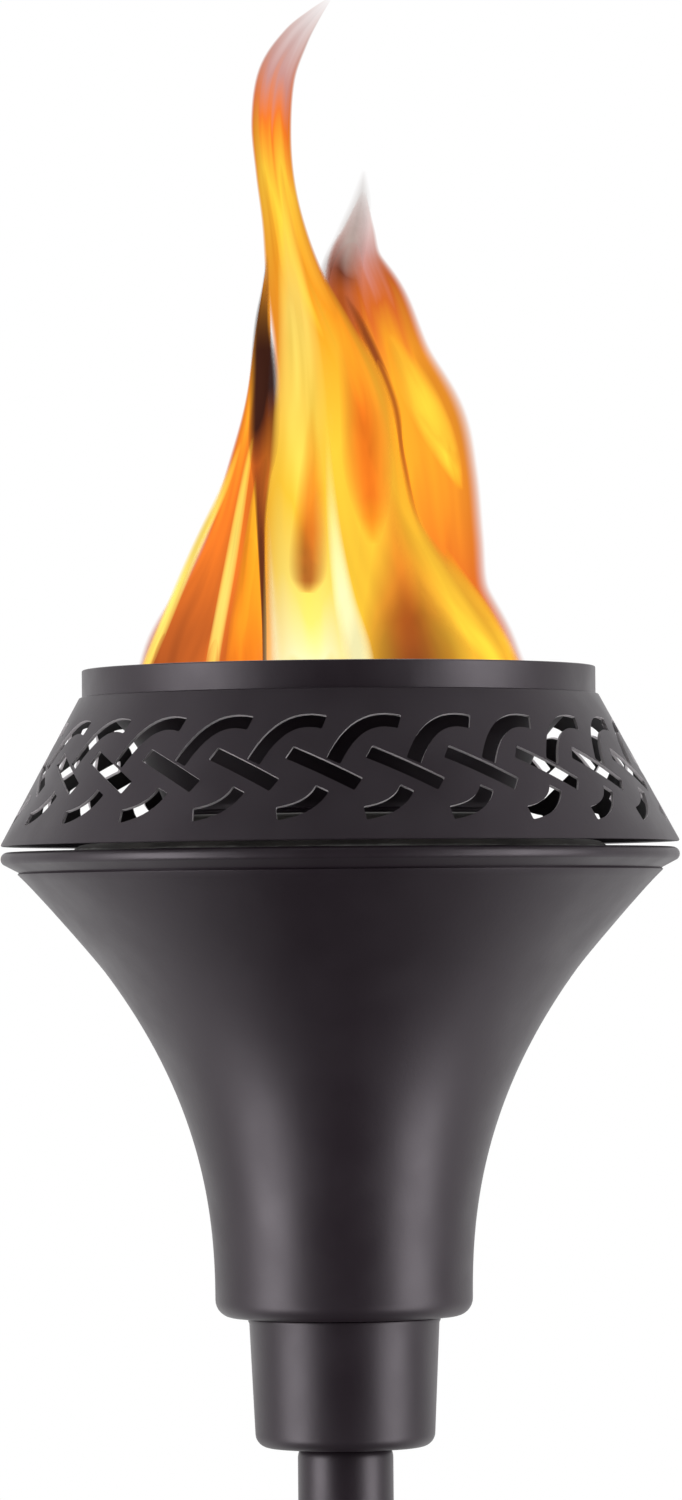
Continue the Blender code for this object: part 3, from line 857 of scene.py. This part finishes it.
def sweep(name, path, radius, sides=14, ripple=0.0):
    """A closed bar along a path, with its ends drawn in, and rippled like a weld if ripple is above 0."""
    shape = bmesh.new()
    path = [Vector(point) for point in path]
    rings = []
    count = len(path) - 1
    for i, point in enumerate(path):
        along = (path[min(i + 1, count)] - path[max(i - 1, 0)]).normalized()
        side = along.cross(Vector((0, 0.1, 1))).normalized()
        up = side.cross(along)
        share = i / count
        swell = min(1, 3.2 * math.sqrt(max(0.0, share * (1 - share))) + 0.12)
        here = radius * swell * (1 + ripple * math.sin(share * count * 1.55))
        ring = []
        for k in range(sides):
            angle = TAU * k / sides
            ring.append(shape.verts.new(point + (side * math.cos(angle) + up * math.sin(angle)) * here))
        rings.append(ring)
    for first, second in zip(rings, rings[1:]):
        for k in range(sides):
            j = (k + 1) % sides
            shape.faces.new((first[k], first[j], second[j], second[k]))
    shape.faces.new(rings[0][::-1])
    shape.faces.new(rings[-1])
    return new_object(name, shape)


def weld(name, path, radius, ripple, node):
    place(sweep(name, path, radius, ripple=ripple), node, extra=True)


def make_stake():
    low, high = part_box("step_bar")
    half, width, thick = high.x, high.y, high.z - low.z
    shape = bmesh.new()
    bmesh.ops.create_cube(shape, size=1, matrix=Matrix.Translation((0, 0, (low.z + high.z) / 2))
                          @ Matrix.Diagonal((2 * half, 2 * width, thick, 1)))
    bar = new_object("step_plate", shape)
    bevel(bar, 1.2 * MM, 5)
    place(bar, "step_bar")

    for side, name in ((-1, "tine_left"), (1, "tine_right")):
        low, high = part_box(name)
        radius = (high.y - low.y) / 2
        length, point = high.z - low.z, 20 * MM
        profile = [(0, length), (radius - MM, length)]
        profile += arc((radius - MM, length - MM), (MM, MM), 80, 0, 5)
        profile += [(radius, point + 0.6 * MM), (radius - 0.12 * MM, point - 0.6 * MM), (0.45 * MM, 1.6 * MM),
                    (0.3 * MM, 0.7 * MM), (0, 0.3 * MM)]
        tine = revolve(name + "_rod", profile, ROD_SIDES, closed=False, foot=low.z)
        centre = (low.x + high.x) / 2
        tine.data.transform(Matrix.Translation((centre, 0, 0)))
        place(tine, name)
        for fore, place_name in ((-1, "front"), (1, "back")):
            path = [(side * (half + 0.55 * MM), fore * 3 * MM, (0.5 + 3.2 * i / 8) * MM) for i in range(9)]
            weld(f"{name}_weld_{place_name}", path, 1.15 * MM, 0.12, name)
        path = [(side * (half + 0.2 * MM), (i / 6 - 1) * 2.8 * MM, thick + 0.05 * MM) for i in range(13)]
        weld(f"{name}_weld_top", path, 0.75 * MM, 0.12, name)
    make_socket()


def make_socket():
    """The socket that takes the pole, curled at its top and drilled for the lock screw."""
    low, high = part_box("stake_socket")
    outer, bore = high.x, high.x - 1.2 * MM
    height = high.z - low.z
    curl = 0.6 * MM
    profile = arc((outer - curl, height - curl), (curl + 0.25 * MM, curl), 180, 0, 8)
    curl_foot = height - 1.4 * MM
    profile += [(outer, curl_foot), *broken_foot(outer, bore, 0.2 * MM), (bore, curl_foot)]
    socket = revolve("socket_tube", profile, SMALL_SIDES, foot=low.z)
    hole, reach = LOCK_HOLE, 30 * MM
    drill = revolve("drill", [(0, reach), (hole, reach), (hole, 0), (0, 0)], ROD_SIDES, closed=False)
    drill.data.transform(ON_LOCK_AXIS)
    cut = socket.modifiers.new("hole", "BOOLEAN")
    cut.object = drill
    apply_modifiers(socket)
    bpy.data.objects.remove(drill)
    place(socket, "stake_socket")
    for side, name in ((-1, "socket_weld_left"), (1, "socket_weld_right")):
        path = []
        for i in range(25):
            angle = math.radians((i / 12 - 1) * 56)
            path.append((side * (outer + 0.3 * MM) * math.cos(angle), (outer + 0.3 * MM) * math.sin(angle),
                         low.z + 0.3 * MM))
        weld(name, path, 1.5 * MM, 0.1, "stake_socket")


def along_lock(node):
    """(near end, far end, radius) of a node that lies along the lock screw's axis."""
    low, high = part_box(node)
    return -high.y, -low.y, (high.x - low.x) / 2


def place_on_lock(obj, node, degrees):
    obj.data.transform(ON_LOCK_AXIS)
    place(obj, node, degrees)


def make_nut():
    """The nut, and the weld that runs round it where it meets the socket."""
    near, far, radius = along_lock("weld_nut")
    low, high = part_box("weld_nut")
    flats = min(radius - 0.02 * MM, (high.z - low.z) / 2)
    corner = flats / math.cos(math.pi / 6)
    bore = LOCK_HOLE

    def nut_face(angle, index, radius, height):
        if radius < bore + 0.5 * MM:
            return radius
        return min(radius, hexagon_radius(angle + math.pi / 6, flats))

    profile = [(bore + 0.4 * MM, far), (flats * 1.02, far), (corner, far - 0.6 * MM), (corner, near),
               (bore, near)]
    profile += threaded(bore, near + 0.1 * MM, far - 0.4 * MM, MM)
    place_on_lock(revolve("hex_nut", profile, SMALL_SIDES, radius_at=nut_face), "weld_nut", 25)

    bead_radius, socket_radius = 5.7 * MM, 13.6 * MM
    path = []
    for i in range(41):
        angle = TAU * i / 40
        x, z = bead_radius * math.cos(angle), bead_radius * math.sin(angle)
        path.append((x, -math.sqrt(socket_radius**2 - x**2), LOCK_Z + z))
    weld("nut_weld", path, 0.75 * MM, 0.1, "weld_nut")


def make_lock_screw():
    """The threaded rod and the pad at its tip."""
    near, far, _ = along_lock("lock_screw")
    radius = 2.85 * MM
    pitch = MM
    profile = [(0, far), (radius - 0.5 * MM, far), (radius - 0.01 * MM, far - 0.5 * MM)]
    profile += threaded(radius, far - 0.6 * MM, near + 0.8 * MM, pitch)
    profile += [(radius - 0.7 * MM, near), (0, near)]
    screw = revolve("threaded_rod", profile, ROD_SIDES, closed=False,
                    radius_at=thread_or(None, pitch, 0.5 * MM, radius))
    place_on_lock(screw, "lock_screw", 50)

    near, far, radius = along_lock("lock_screw_tip")
    edge = 0.5 * MM
    profile = [(0, far), (radius, far), (radius, near + edge), (radius - edge, near), (0, near)]
    place_on_lock(revolve("screw_pad", profile, ROD_SIDES, closed=False), "lock_screw_tip", 25)


def make_knob():
    near, far, _ = along_lock("lock_knob")
    centre, wave, lobes = 11 * MM, 1.3 * MM, 6
    edge = 1.6 * MM
    hole = LOCK_HOLE

    def lobed(angle, index, radius, height):
        if radius < centre * 0.75:
            return radius
        return radius + wave * math.cos(lobes * angle)

    profile = [(0, far - 0.9 * MM), (5 * MM, far - 0.9 * MM), (5.6 * MM, far - 0.3 * MM), (6.4 * MM, far)]
    profile += arc((centre - edge, far - edge), (edge, edge), 90, 0, 6)
    profile += arc((centre - edge, near + edge), (edge, edge), 0, -90, 6)
    profile += [(7 * MM, near), (6.6 * MM, near - 0.02 * MM), (hole + 0.3 * MM, near),
                (hole, near + 0.3 * MM), (hole, far - 2.7 * MM), (0, far - 2.7 * MM)]
    place_on_lock(revolve("lobed_knob", profile, 144, closed=False, radius_at=lobed), "lock_knob", 35)


# Flame ---------------------------------------------------------------------------------------------

# Each tongue is a flattened tube round a spine of (x, height, half width) points, in millimetres, from
# its foot to its tip. depth is how far behind the middle it stands, flat its thickness against its width,
# body how solid it is, fade where along it its tip starts to clear, streaks how many streaks it has, and
# turn its turn about Z in degrees. colours run from foot to tip, and flame_material tells of the rest.
WHITE_HOT = (1.0, 0.93, 0.50)
PALE = (1.0, 0.76, 0.16)
YELLOW = (1.0, 0.60, 0.045)
AMBER = (0.96, 0.36, 0.018)
ORANGE = (0.87, 0.19, 0.015)
RUST = (0.42, 0.085, 0.014)
UMBER = (0.13, 0.030, 0.012)
COPPER = (0.62, 0.13, 0.016)
SOOT = (0.035, 0.010, 0.008)
SMOKE = (0.48, 0.28, 0.26)
DUSK = (0.50, 0.20, 0.17)
GREY_SMOKE = (0.36, 0.29, 0.26)

RIM = 165.0  # the height of the crown's rim, where the tongues pass it
WICK_TOP = (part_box("wick")[1].z - BOWL_FOOT) / MM
ROOT_ROWS = 8  # between the wick and a tongue's foot
SEED_STEP = 3.7  # between one tongue's streaks and the next's

TONGUES = {
    "main": dict(
        soft=0.14, rim=0.6, depth=-6, flat=0.35, body=0.97, fade=0.72, streaks=2.6,
        colours=[(0.0, AMBER), (0.12, YELLOW), (0.34, YELLOW), (0.5, AMBER), (0.64, YELLOW), (0.74, ORANGE),
                 (0.82, DUSK), (0.9, SMOKE)],
        spine=[(15, 152, 31), (11.6, 167, 30), (4.3, 186, 23), (0, 200, 19.5), (-2, 217, 18),
               (-1.5, 231.5, 15), (-5.3, 246, 11), (-10, 261, 7.7), (-13, 276, 5.4), (-15, 289, 4.9),
               (-15.7, 302, 5.2), (-14.2, 313.6, 4.9), (-9.6, 322.5, 3.6), (-4.8, 328.4, 1.9),
               (-0.3, 333, 0.3)]),
    "right": dict(
        soft=0.2, rim=0.6, depth=6, flat=0.5, body=0.95, fade=0.76, streaks=3.0,
        colours=[(0.0, AMBER), (0.1, ORANGE), (0.3, ORANGE), (0.5, AMBER), (0.64, AMBER), (0.74, COPPER),
                 (0.86, DUSK)],
        spine=[(28, 152, 23), (25, 166, 21), (21, 181, 18), (20, 196, 17.5), (18.7, 211.6, 17.5),
               (16, 225, 17.5), (11, 240.7, 14), (7.8, 255.5, 11.5), (5.3, 267, 7.6), (6.3, 275.4, 4.2),
               (7.5, 285, 0.5)]),
    "left": dict(
        soft=0.2, rim=0.3, depth=3, flat=0.6, body=0.95, fade=0.9, streaks=3.0,
        colours=[(0.0, ORANGE), (0.15, RUST), (0.3, COPPER), (0.5, ORANGE), (0.7, AMBER), (1.0, AMBER)],
        spine=[(-37, 153, 15.5), (-34.4, 166, 15.5), (-29.3, 181.5, 12), (-25.5, 197.6, 8), (-21.8, 218, 5),
               (-20, 232, 3), (-18.5, 247.3, 2.2), (-17.5, 260, 1), (-17, 267, 0.3)]),
    "left_edge": dict(
        depth=-4, flat=0.8, body=0.9, fade=0.7,
        colours=[(0.0, AMBER), (0.5, PALE), (1.0, YELLOW)],
        spine=[(-49.5, 162, 1.2), (-46, 170, 1.5), (-36.6, 192, 1.4), (-29, 208, 1.2), (-24, 221, 0.5)]),
    "left_streak": dict(
        depth=-7, flat=0.8, body=0.9, fade=0.7,
        colours=[(0.0, AMBER), (0.5, PALE), (1.0, YELLOW)],
        spine=[(-32, 160, 1.8), (-31.4, 167, 1.8), (-26.6, 192, 1.6), (-22.8, 213, 1.0), (-21, 222, 0.4)]),
    "left_leaf": dict(
        soft=0.3, rim=0.4, depth=-3, flat=0.6, body=0.92, fade=0.8, streaks=2.0,
        colours=[(0.0, AMBER), (0.3, ORANGE), (0.7, AMBER), (1.0, YELLOW)],
        spine=[(-22.5, 156, 8), (-22.3, 168, 7), (-21, 186, 4.6), (-19.6, 205, 2.4), (-19, 218, 0.5)]),
    "dark_seam": dict(
        soft=0.5, depth=-8.5, flat=0.8, body=0.93, fade=0.72,
        colours=[(0.0, UMBER), (0.3, UMBER), (0.5, RUST), (0.62, SOOT), (0.85, SOOT), (1.0, UMBER)],
        spine=[(-18.6, 156, 0.5), (-18.6, 175, 0.7), (-19.2, 198, 1.2), (-18.8, 210, 2.4), (-18.2, 220, 4.2),
               (-18.0, 237, 3.8), (-18.4, 250, 2.2), (-17.5, 260, 1), (-17, 268, 0.3)]),
    "core": dict(
        soft=0.75, depth=-21, flat=0.3, body=0.93, fade=0.6, streaks=1.4,
        colours=[(0.0, AMBER), (0.08, YELLOW), (0.13, PALE), (0.20, WHITE_HOT), (0.30, PALE), (0.42, YELLOW),
                 (0.7, PALE), (1.0, YELLOW)],
        spine=[(-6.5, 156, 12), (-7.2, 167, 11.8), (-8.3, 186, 10.4), (-8.9, 206.5, 8.6), (-8.9, 224, 7.2),
               (-9, 242, 5.6), (-10.4, 257.5, 4), (-11.8, 273, 2.4), (-12.6, 290, 0.5)]),
    "core_shade": dict(
        soft=0.85, start=0.8, depth=-28, flat=0.4, body=0.72, fade=0.5,
        colours=[(0.0, RUST), (0.35, RUST), (0.7, ORANGE), (1.0, AMBER)],
        spine=[(-7.6, 181.5, 2.2), (-7.4, 185.5, 4.6), (-7.2, 192, 4.9), (-6.6, 203, 4.0), (-6.2, 215, 2.6),
               (-6, 228, 0.6)]),
    "core_glint": dict(
        depth=-28, flat=0.5, body=0.95, fade=0.6, streaks=0.6,
        colours=[(0.0, PALE), (0.2, WHITE_HOT), (0.5, WHITE_HOT), (1.0, YELLOW)],
        spine=[(5.6, 160, 4.2), (4.4, 168, 3.9), (1.6, 180, 2.9), (-0.4, 194, 2.0), (-1.6, 208, 1.3),
               (-2.4, 224, 0.4)]),
    "ember": dict(
        soft=0.95, start=1.0, depth=-16, flat=0.3, body=0.9, fade=0.55, streaks=1.6,
        colours=[(0.0, AMBER), (0.25, ORANGE), (0.6, ORANGE), (1.0, AMBER)],
        spine=[(9, 194, 1.5), (8.6, 203, 4.6), (7.8, 214, 6.4), (6.4, 228, 5.6), (3.4, 242, 3.2),
               (0.4, 254, 0.5)]),
    "root_shade": dict(
        soft=0.95, depth=-23, flat=0.2, body=0.85, fade=0.5, streaks=1.6,
        colours=[(0.0, UMBER), (0.3, UMBER), (0.5, RUST), (0.75, COPPER), (1.0, ORANGE)],
        spine=[(21, 148, 16), (19, 164, 15), (17.5, 175, 12), (16, 186, 8.5), (14, 198, 4.5),
               (12.5, 210, 0.8)]),
    "rim_streak": dict(
        soft=0.9, depth=-15, flat=0.3, body=0.85, fade=0.6,
        colours=[(0.0, YELLOW), (0.4, YELLOW), (1.0, AMBER)],
        spine=[(41, 160, 3), (37, 168, 3.4), (27.5, 180, 4.4), (20, 193, 4.2), (16.2, 206, 2.8),
               (14.4, 220, 1.4), (12.6, 232, 0.4)]),
    "rim_line": dict(
        depth=-2, flat=0.8, body=0.85, fade=0.8,
        colours=[(0.0, RUST), (0.5, RUST), (1.0, UMBER)],
        spine=[(38, 175, 0.5), (30, 184, 1.0), (20.8, 199, 1.1), (17, 215, 1.2), (14.6, 231, 1.2),
               (7.2, 249, 1.4), (2.5, 258, 0.5)]),
    "right_smoke": dict(
        soft=0.95, start=0.6, depth=1, flat=0.5, body=0.95, fade=0.55,
        colours=[(0.0, RUST), (0.35, RUST), (0.5, UMBER), (0.7, GREY_SMOKE), (1.0, GREY_SMOKE)],
        spine=[(7, 232, 3), (4, 246, 5), (1.6, 256, 6), (1.6, 264, 5.6), (4, 272, 4.4), (6.6, 281, 3),
               (7.6, 290, 0.6)]),
    "right_glow": dict(
        soft=0.95, start=1.0, depth=-4, flat=0.4, body=0.85, fade=0.6, streaks=1.4,
        colours=[(0.0, AMBER), (0.3, YELLOW), (1.0, YELLOW)],
        spine=[(31.5, 208, 0.8), (28.5, 216, 3.0), (24.6, 225, 4.4), (19.4, 236, 4.2), (13.6, 248, 1.0)]),
    "right_root": dict(
        soft=0.7, depth=-3, flat=0.5, body=0.85, fade=0.7, streaks=1.4,
        colours=[(0.0, ORANGE), (0.5, YELLOW), (1.0, AMBER)],
        spine=[(44, 160, 3.0), (42, 166, 3.2), (37, 175, 3.2), (31.5, 184, 2.6), (27, 194, 0.6)]),
    "back_left": dict(
        soft=0.2, rim=0.6, depth=0, flat=0.6, body=0.93, fade=0.85, streaks=3.0, turn=-80,
        colours=[(0.0, ORANGE), (0.2, RUST), (0.5, ORANGE), (0.8, AMBER), (1.0, AMBER)],
        spine=[(-30, 153, 15), (-27, 166, 14), (-21, 181.5, 12), (-15, 197.6, 9), (-9, 214, 6),
               (-6, 230, 2.5), (-5, 242, 0.4)]),
    "back_right": dict(
        soft=0.2, rim=0.6, depth=0, flat=0.6, body=0.93, fade=0.85, streaks=3.0, turn=-118,
        colours=[(0.0, AMBER), (0.2, ORANGE), (0.5, AMBER), (0.8, ORANGE), (1.0, RUST)],
        spine=[(-26, 153, 14), (-23, 166, 13), (-18, 180, 10.5), (-12, 193, 8), (-9, 206, 5), (-7, 219, 2),
               (-6, 228, 0.4)]),
}


def flame_material(name, seed, colours, body, fade, streaks, soft, start, rim):
    """Light that is coloured along the tongue, streaked lengthwise, and clear at its edges and its tip.
    soft is the share of its half width that fades, start how much its foot fades, and rim how rusty its
    edges are."""
    n = Material(name, "UV")
    across, along, _ = n.axes()
    spot = n.fill(n.add("ShaderNodeCombineXYZ"), (n.times(across, streaks), n.times(along, 1.7), seed))
    streak = n.noise(1.6, 2, 0.45, spot["Vector"], distortion=0.35)
    aside = n.math("ABSOLUTE", n.math("MULTIPLY_ADD", across, 2.0, -1.0))
    colour = n.ramp(n.math("ADD", along, n.swing(streak, 0.30)), colours)
    colour = n.mix(n.range(aside, 0.0, rim, 0.45, 1.0), colour, RUST)
    glow = n.fill(n.add("ShaderNodeEmission"), (colour, n.levels(streak, 0.92, 1.34)))["Emission"]
    facing = n.fill(n.add("ShaderNodeLayerWeight"), {"Blend": 0.5})["Facing"]
    edge = n.range(facing, 1.0, 0.0, 0.45, 0.98)
    edge = n.times(edge, n.math("SMOOTH_MIN", n.range(aside, 1.0, 0.0, 1 - soft, 1.0), 1.0, 0.2))
    tip = n.times(n.range(along, 1.0, 0.0, fade, 1.0), n.range(along, 1 - start, 1.0, 0.0, 0.16))
    clear = n.add("ShaderNodeBsdfTransparent").outputs["BSDF"]
    n.mix_shaders(n.times(n.times(edge, tip), body), clear, glow,
                  n.tree.nodes["Material Output"].inputs["Surface"])
    n.tree.nodes.remove(n.shader)
    return n.material


def wick_root(foot):
    """Rows that lead straight from the wick's top out to the foot of a tongue below the crown's rim."""
    if foot[1] > RIM:
        return []
    wick = (0.12 * foot[0], WICK_TOP - 2, min(foot[2], 5))
    return [tuple(a + (b - a) * i / ROOT_ROWS for a, b in zip(wick, foot)) for i in range(ROOT_ROWS)]


def tongue_ring(shape, row, way, depth, flat, sides):
    """One ring of a tongue, square to its way at that row."""
    x, height, half = row
    half = max(half, 0.05)
    depth *= min(1, max(0.15, (height - WICK_TOP + 2) / (RIM - WICK_TOP)))  # drawn in near the wick
    ring = []
    for k in range(sides):
        angle = TAU * k / sides
        out = half * math.cos(angle)
        ring.append(shape.verts.new(((x + out * way.y) * MM, (depth + flat * half * math.sin(angle)) * MM,
                                     BOWL_FOOT + (height - out * way.x) * MM)))
    return ring


def make_tongue(name, seed, colours, spine, depth, flat, body, fade, streaks=1.0, turn=0, soft=0.85,
                start=0.0, rim=0.0):
    """One tongue of the flame. Its UV is how far across it and how far up it a point is."""
    path = smooth_path(spine, 8)
    root = wick_root(path[0])
    path = root + path
    shape = bmesh.new()
    uv = shape.loops.layers.uv.new("UVMap")
    sides = 40
    rings, count = [], len(path) - 1
    for i, row in enumerate(path):
        way = Vector((0, 1))
        if i >= len(root):
            before, after = path[max(i - 1, len(root))], path[min(i + 1, count)]
            way = Vector((after[0] - before[0], after[1] - before[1])).normalized()
        rings.append(tongue_ring(shape, row, way, depth, flat, sides))
    for i in range(count):
        for k in range(sides):
            j = (k + 1) % sides
            face = shape.faces.new((rings[i][k], rings[i][j], rings[i + 1][j], rings[i + 1][k]))
            corners = ((i, k), (i, k + 1), (i + 1, k + 1), (i + 1, k))
            for loop, (row, column) in zip(face.loops, corners):
                loop[uv].uv = (0.5 + 0.5 * math.cos(TAU * column / sides), row / count)
    shape.faces.new(rings[0][::-1])
    shape.faces.new(rings[-1])
    tongue = new_object("flame_" + name, shape)
    tongue.data.transform(Matrix.Rotation(math.radians(turn), 4, "Z"))
    tongue.data.shade_smooth()
    tongue.data.materials.append(
        flame_material("flame_" + name, seed, colours, body, fade, streaks, soft, start, rim))
    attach(tongue, NODE_BODIES["wick"])
    tongue.visible_diffuse = False
    tongue.visible_glossy = False
    tongue.visible_shadow = False


def make_flame():
    for number, (name, settings) in enumerate(TONGUES.items()):
        make_tongue(name, number * SEED_STEP, **settings)


# Stage ---------------------------------------------------------------------------------------------

CAMERA_DISTANCE = 1.86
CAMERA_ASIDE = 0.45 * MM
CAMERA_DROP = 19.3 * MM  # the camera is this far below the lip's widest ring
CAMERA_PITCH = 1.433  # degrees up
CAMERA_ROLL = 0.52  # degrees
CAMERA_LENS = 176.65
LIP_HEIGHT = 115.7 * MM

# Brightness of the room from the camera's end (0) to the far wall (1)
ROOM = ((0.0, 0.02), (0.42, 0.045), (0.60, 0.5), (0.78, 1.0))
BELOW = 0.12  # how much of that is left straight below
LOW_SIDES = 0.45  # light added low down at the sides

FLOOR_RADIUS = 5
FLOOR_GLOW = 0.64

# The strips stand at the two sides, a little in front, and the soft light above and behind
STRIP_ASIDE, STRIP_FORE = 1.45, -0.68
STRIP_SIZE = (0.95, 2.4)
STRIP_POWERS = {-1: ("left_strip", 39), 1: ("right_strip", 36)}
SOFT_PLACE = (0.0, 0.3, BOWL_FOOT + 1.6)
SOFT_SIZE = (1.6, 1.6)
SOFT_POWER = 14


def make_camera():
    data = bpy.data.cameras.new("camera")
    data.lens = CAMERA_LENS
    data.clip_end = 100
    camera = bpy.data.objects.new("camera", data)
    bpy.context.scene.collection.objects.link(camera)
    spot = (CAMERA_ASIDE, -CAMERA_DISTANCE, BOWL_FOOT + LIP_HEIGHT - CAMERA_DROP)
    pitch = Matrix.Rotation(math.radians(90 + CAMERA_PITCH), 4, "X")
    roll = Matrix.Rotation(math.radians(-CAMERA_ROLL), 4, "Z")
    camera.matrix_world = Matrix.Translation(spot) @ pitch @ roll
    bpy.context.scene.camera = camera


def area_light(name, spot, target, size, power):
    data = bpy.data.lights.new(name, "AREA")
    data.shape = "RECTANGLE"
    data.size, data.size_y = size
    data.energy = power
    light = bpy.data.objects.new(name, data)
    bpy.context.scene.collection.objects.link(light)
    light.location = spot
    light.rotation_euler = (Vector(target) - Vector(spot)).to_track_quat("-Z", "Y").to_euler()
    light.visible_camera = False


def make_world():
    """A white studio: white all round to the camera, and to the object a white wall behind it and a
    dark room in front."""
    world = bpy.data.worlds.new("studio")
    bpy.context.scene.world = world
    world.use_nodes = True
    n = Nodes(world.node_tree, "Generated")
    x, y, z = n.axes()
    spread = n.ramp(n.range(y, 0.0, 1.0, -1.0, 1.0), ROOM)
    below = n.range(z, BELOW, 1.0, -0.98, -0.6)
    aside = n.range(n.math("ABSOLUTE", x), 0.0, 1.0, 0.2, 0.7)
    low = n.range(z, LOW_SIDES, 0.0, -0.75, -0.25)
    room = n.fill(n.tree.nodes["Background"], [n.math("ADD", n.times(spread, below), n.times(aside, low))])
    white = n.fill(n.add("ShaderNodeBackground"), [(1, 1, 1, 1)])
    seen = n.add("ShaderNodeLightPath").outputs["Is Camera Ray"]
    n.mix_shaders(seen, room["Background"], white["Background"],
                  n.tree.nodes["World Output"].inputs["Surface"])


def make_floor():
    shape = bmesh.new()
    bmesh.ops.create_circle(shape, cap_ends=True, segments=96, radius=FLOOR_RADIUS)
    floor = new_object("floor", shape)
    floor.location.z = cad_box[0][2] - MM
    n = Material("floor")
    n.set(Emission_Color=(1.0, 1.0, 1.0, 1.0), Emission_Strength=FLOOR_GLOW)
    floor.data.materials.append(
        n.finish(n.tones(n.noise(1.5, 4), 0.11, 0.13), n.range(n.noise(30, 3), 0.75, 0.9)))
    floor.visible_glossy = False
    floor.visible_diffuse = False


def make_lights():
    head = (0, 0, BOWL_FOOT + 0.08)
    for side, (name, power) in STRIP_POWERS.items():
        area_light(name, (side * STRIP_ASIDE, STRIP_FORE, BOWL_FOOT), head, STRIP_SIZE, power)
    area_light("top_soft", SOFT_PLACE, head, SOFT_SIZE, SOFT_POWER)


make_bowl()
make_collar()
make_canister()
make_cap()
make_sleeve()
make_wick()
make_crown()
make_pole()
make_stake()
make_nut()
make_lock_screw()
make_knob()
make_flame()
make_camera()
make_world()
make_floor()
make_lights()
bpy.context.scene.view_settings.view_transform = "Standard"
bpy.context.scene.cycles.use_denoising = True
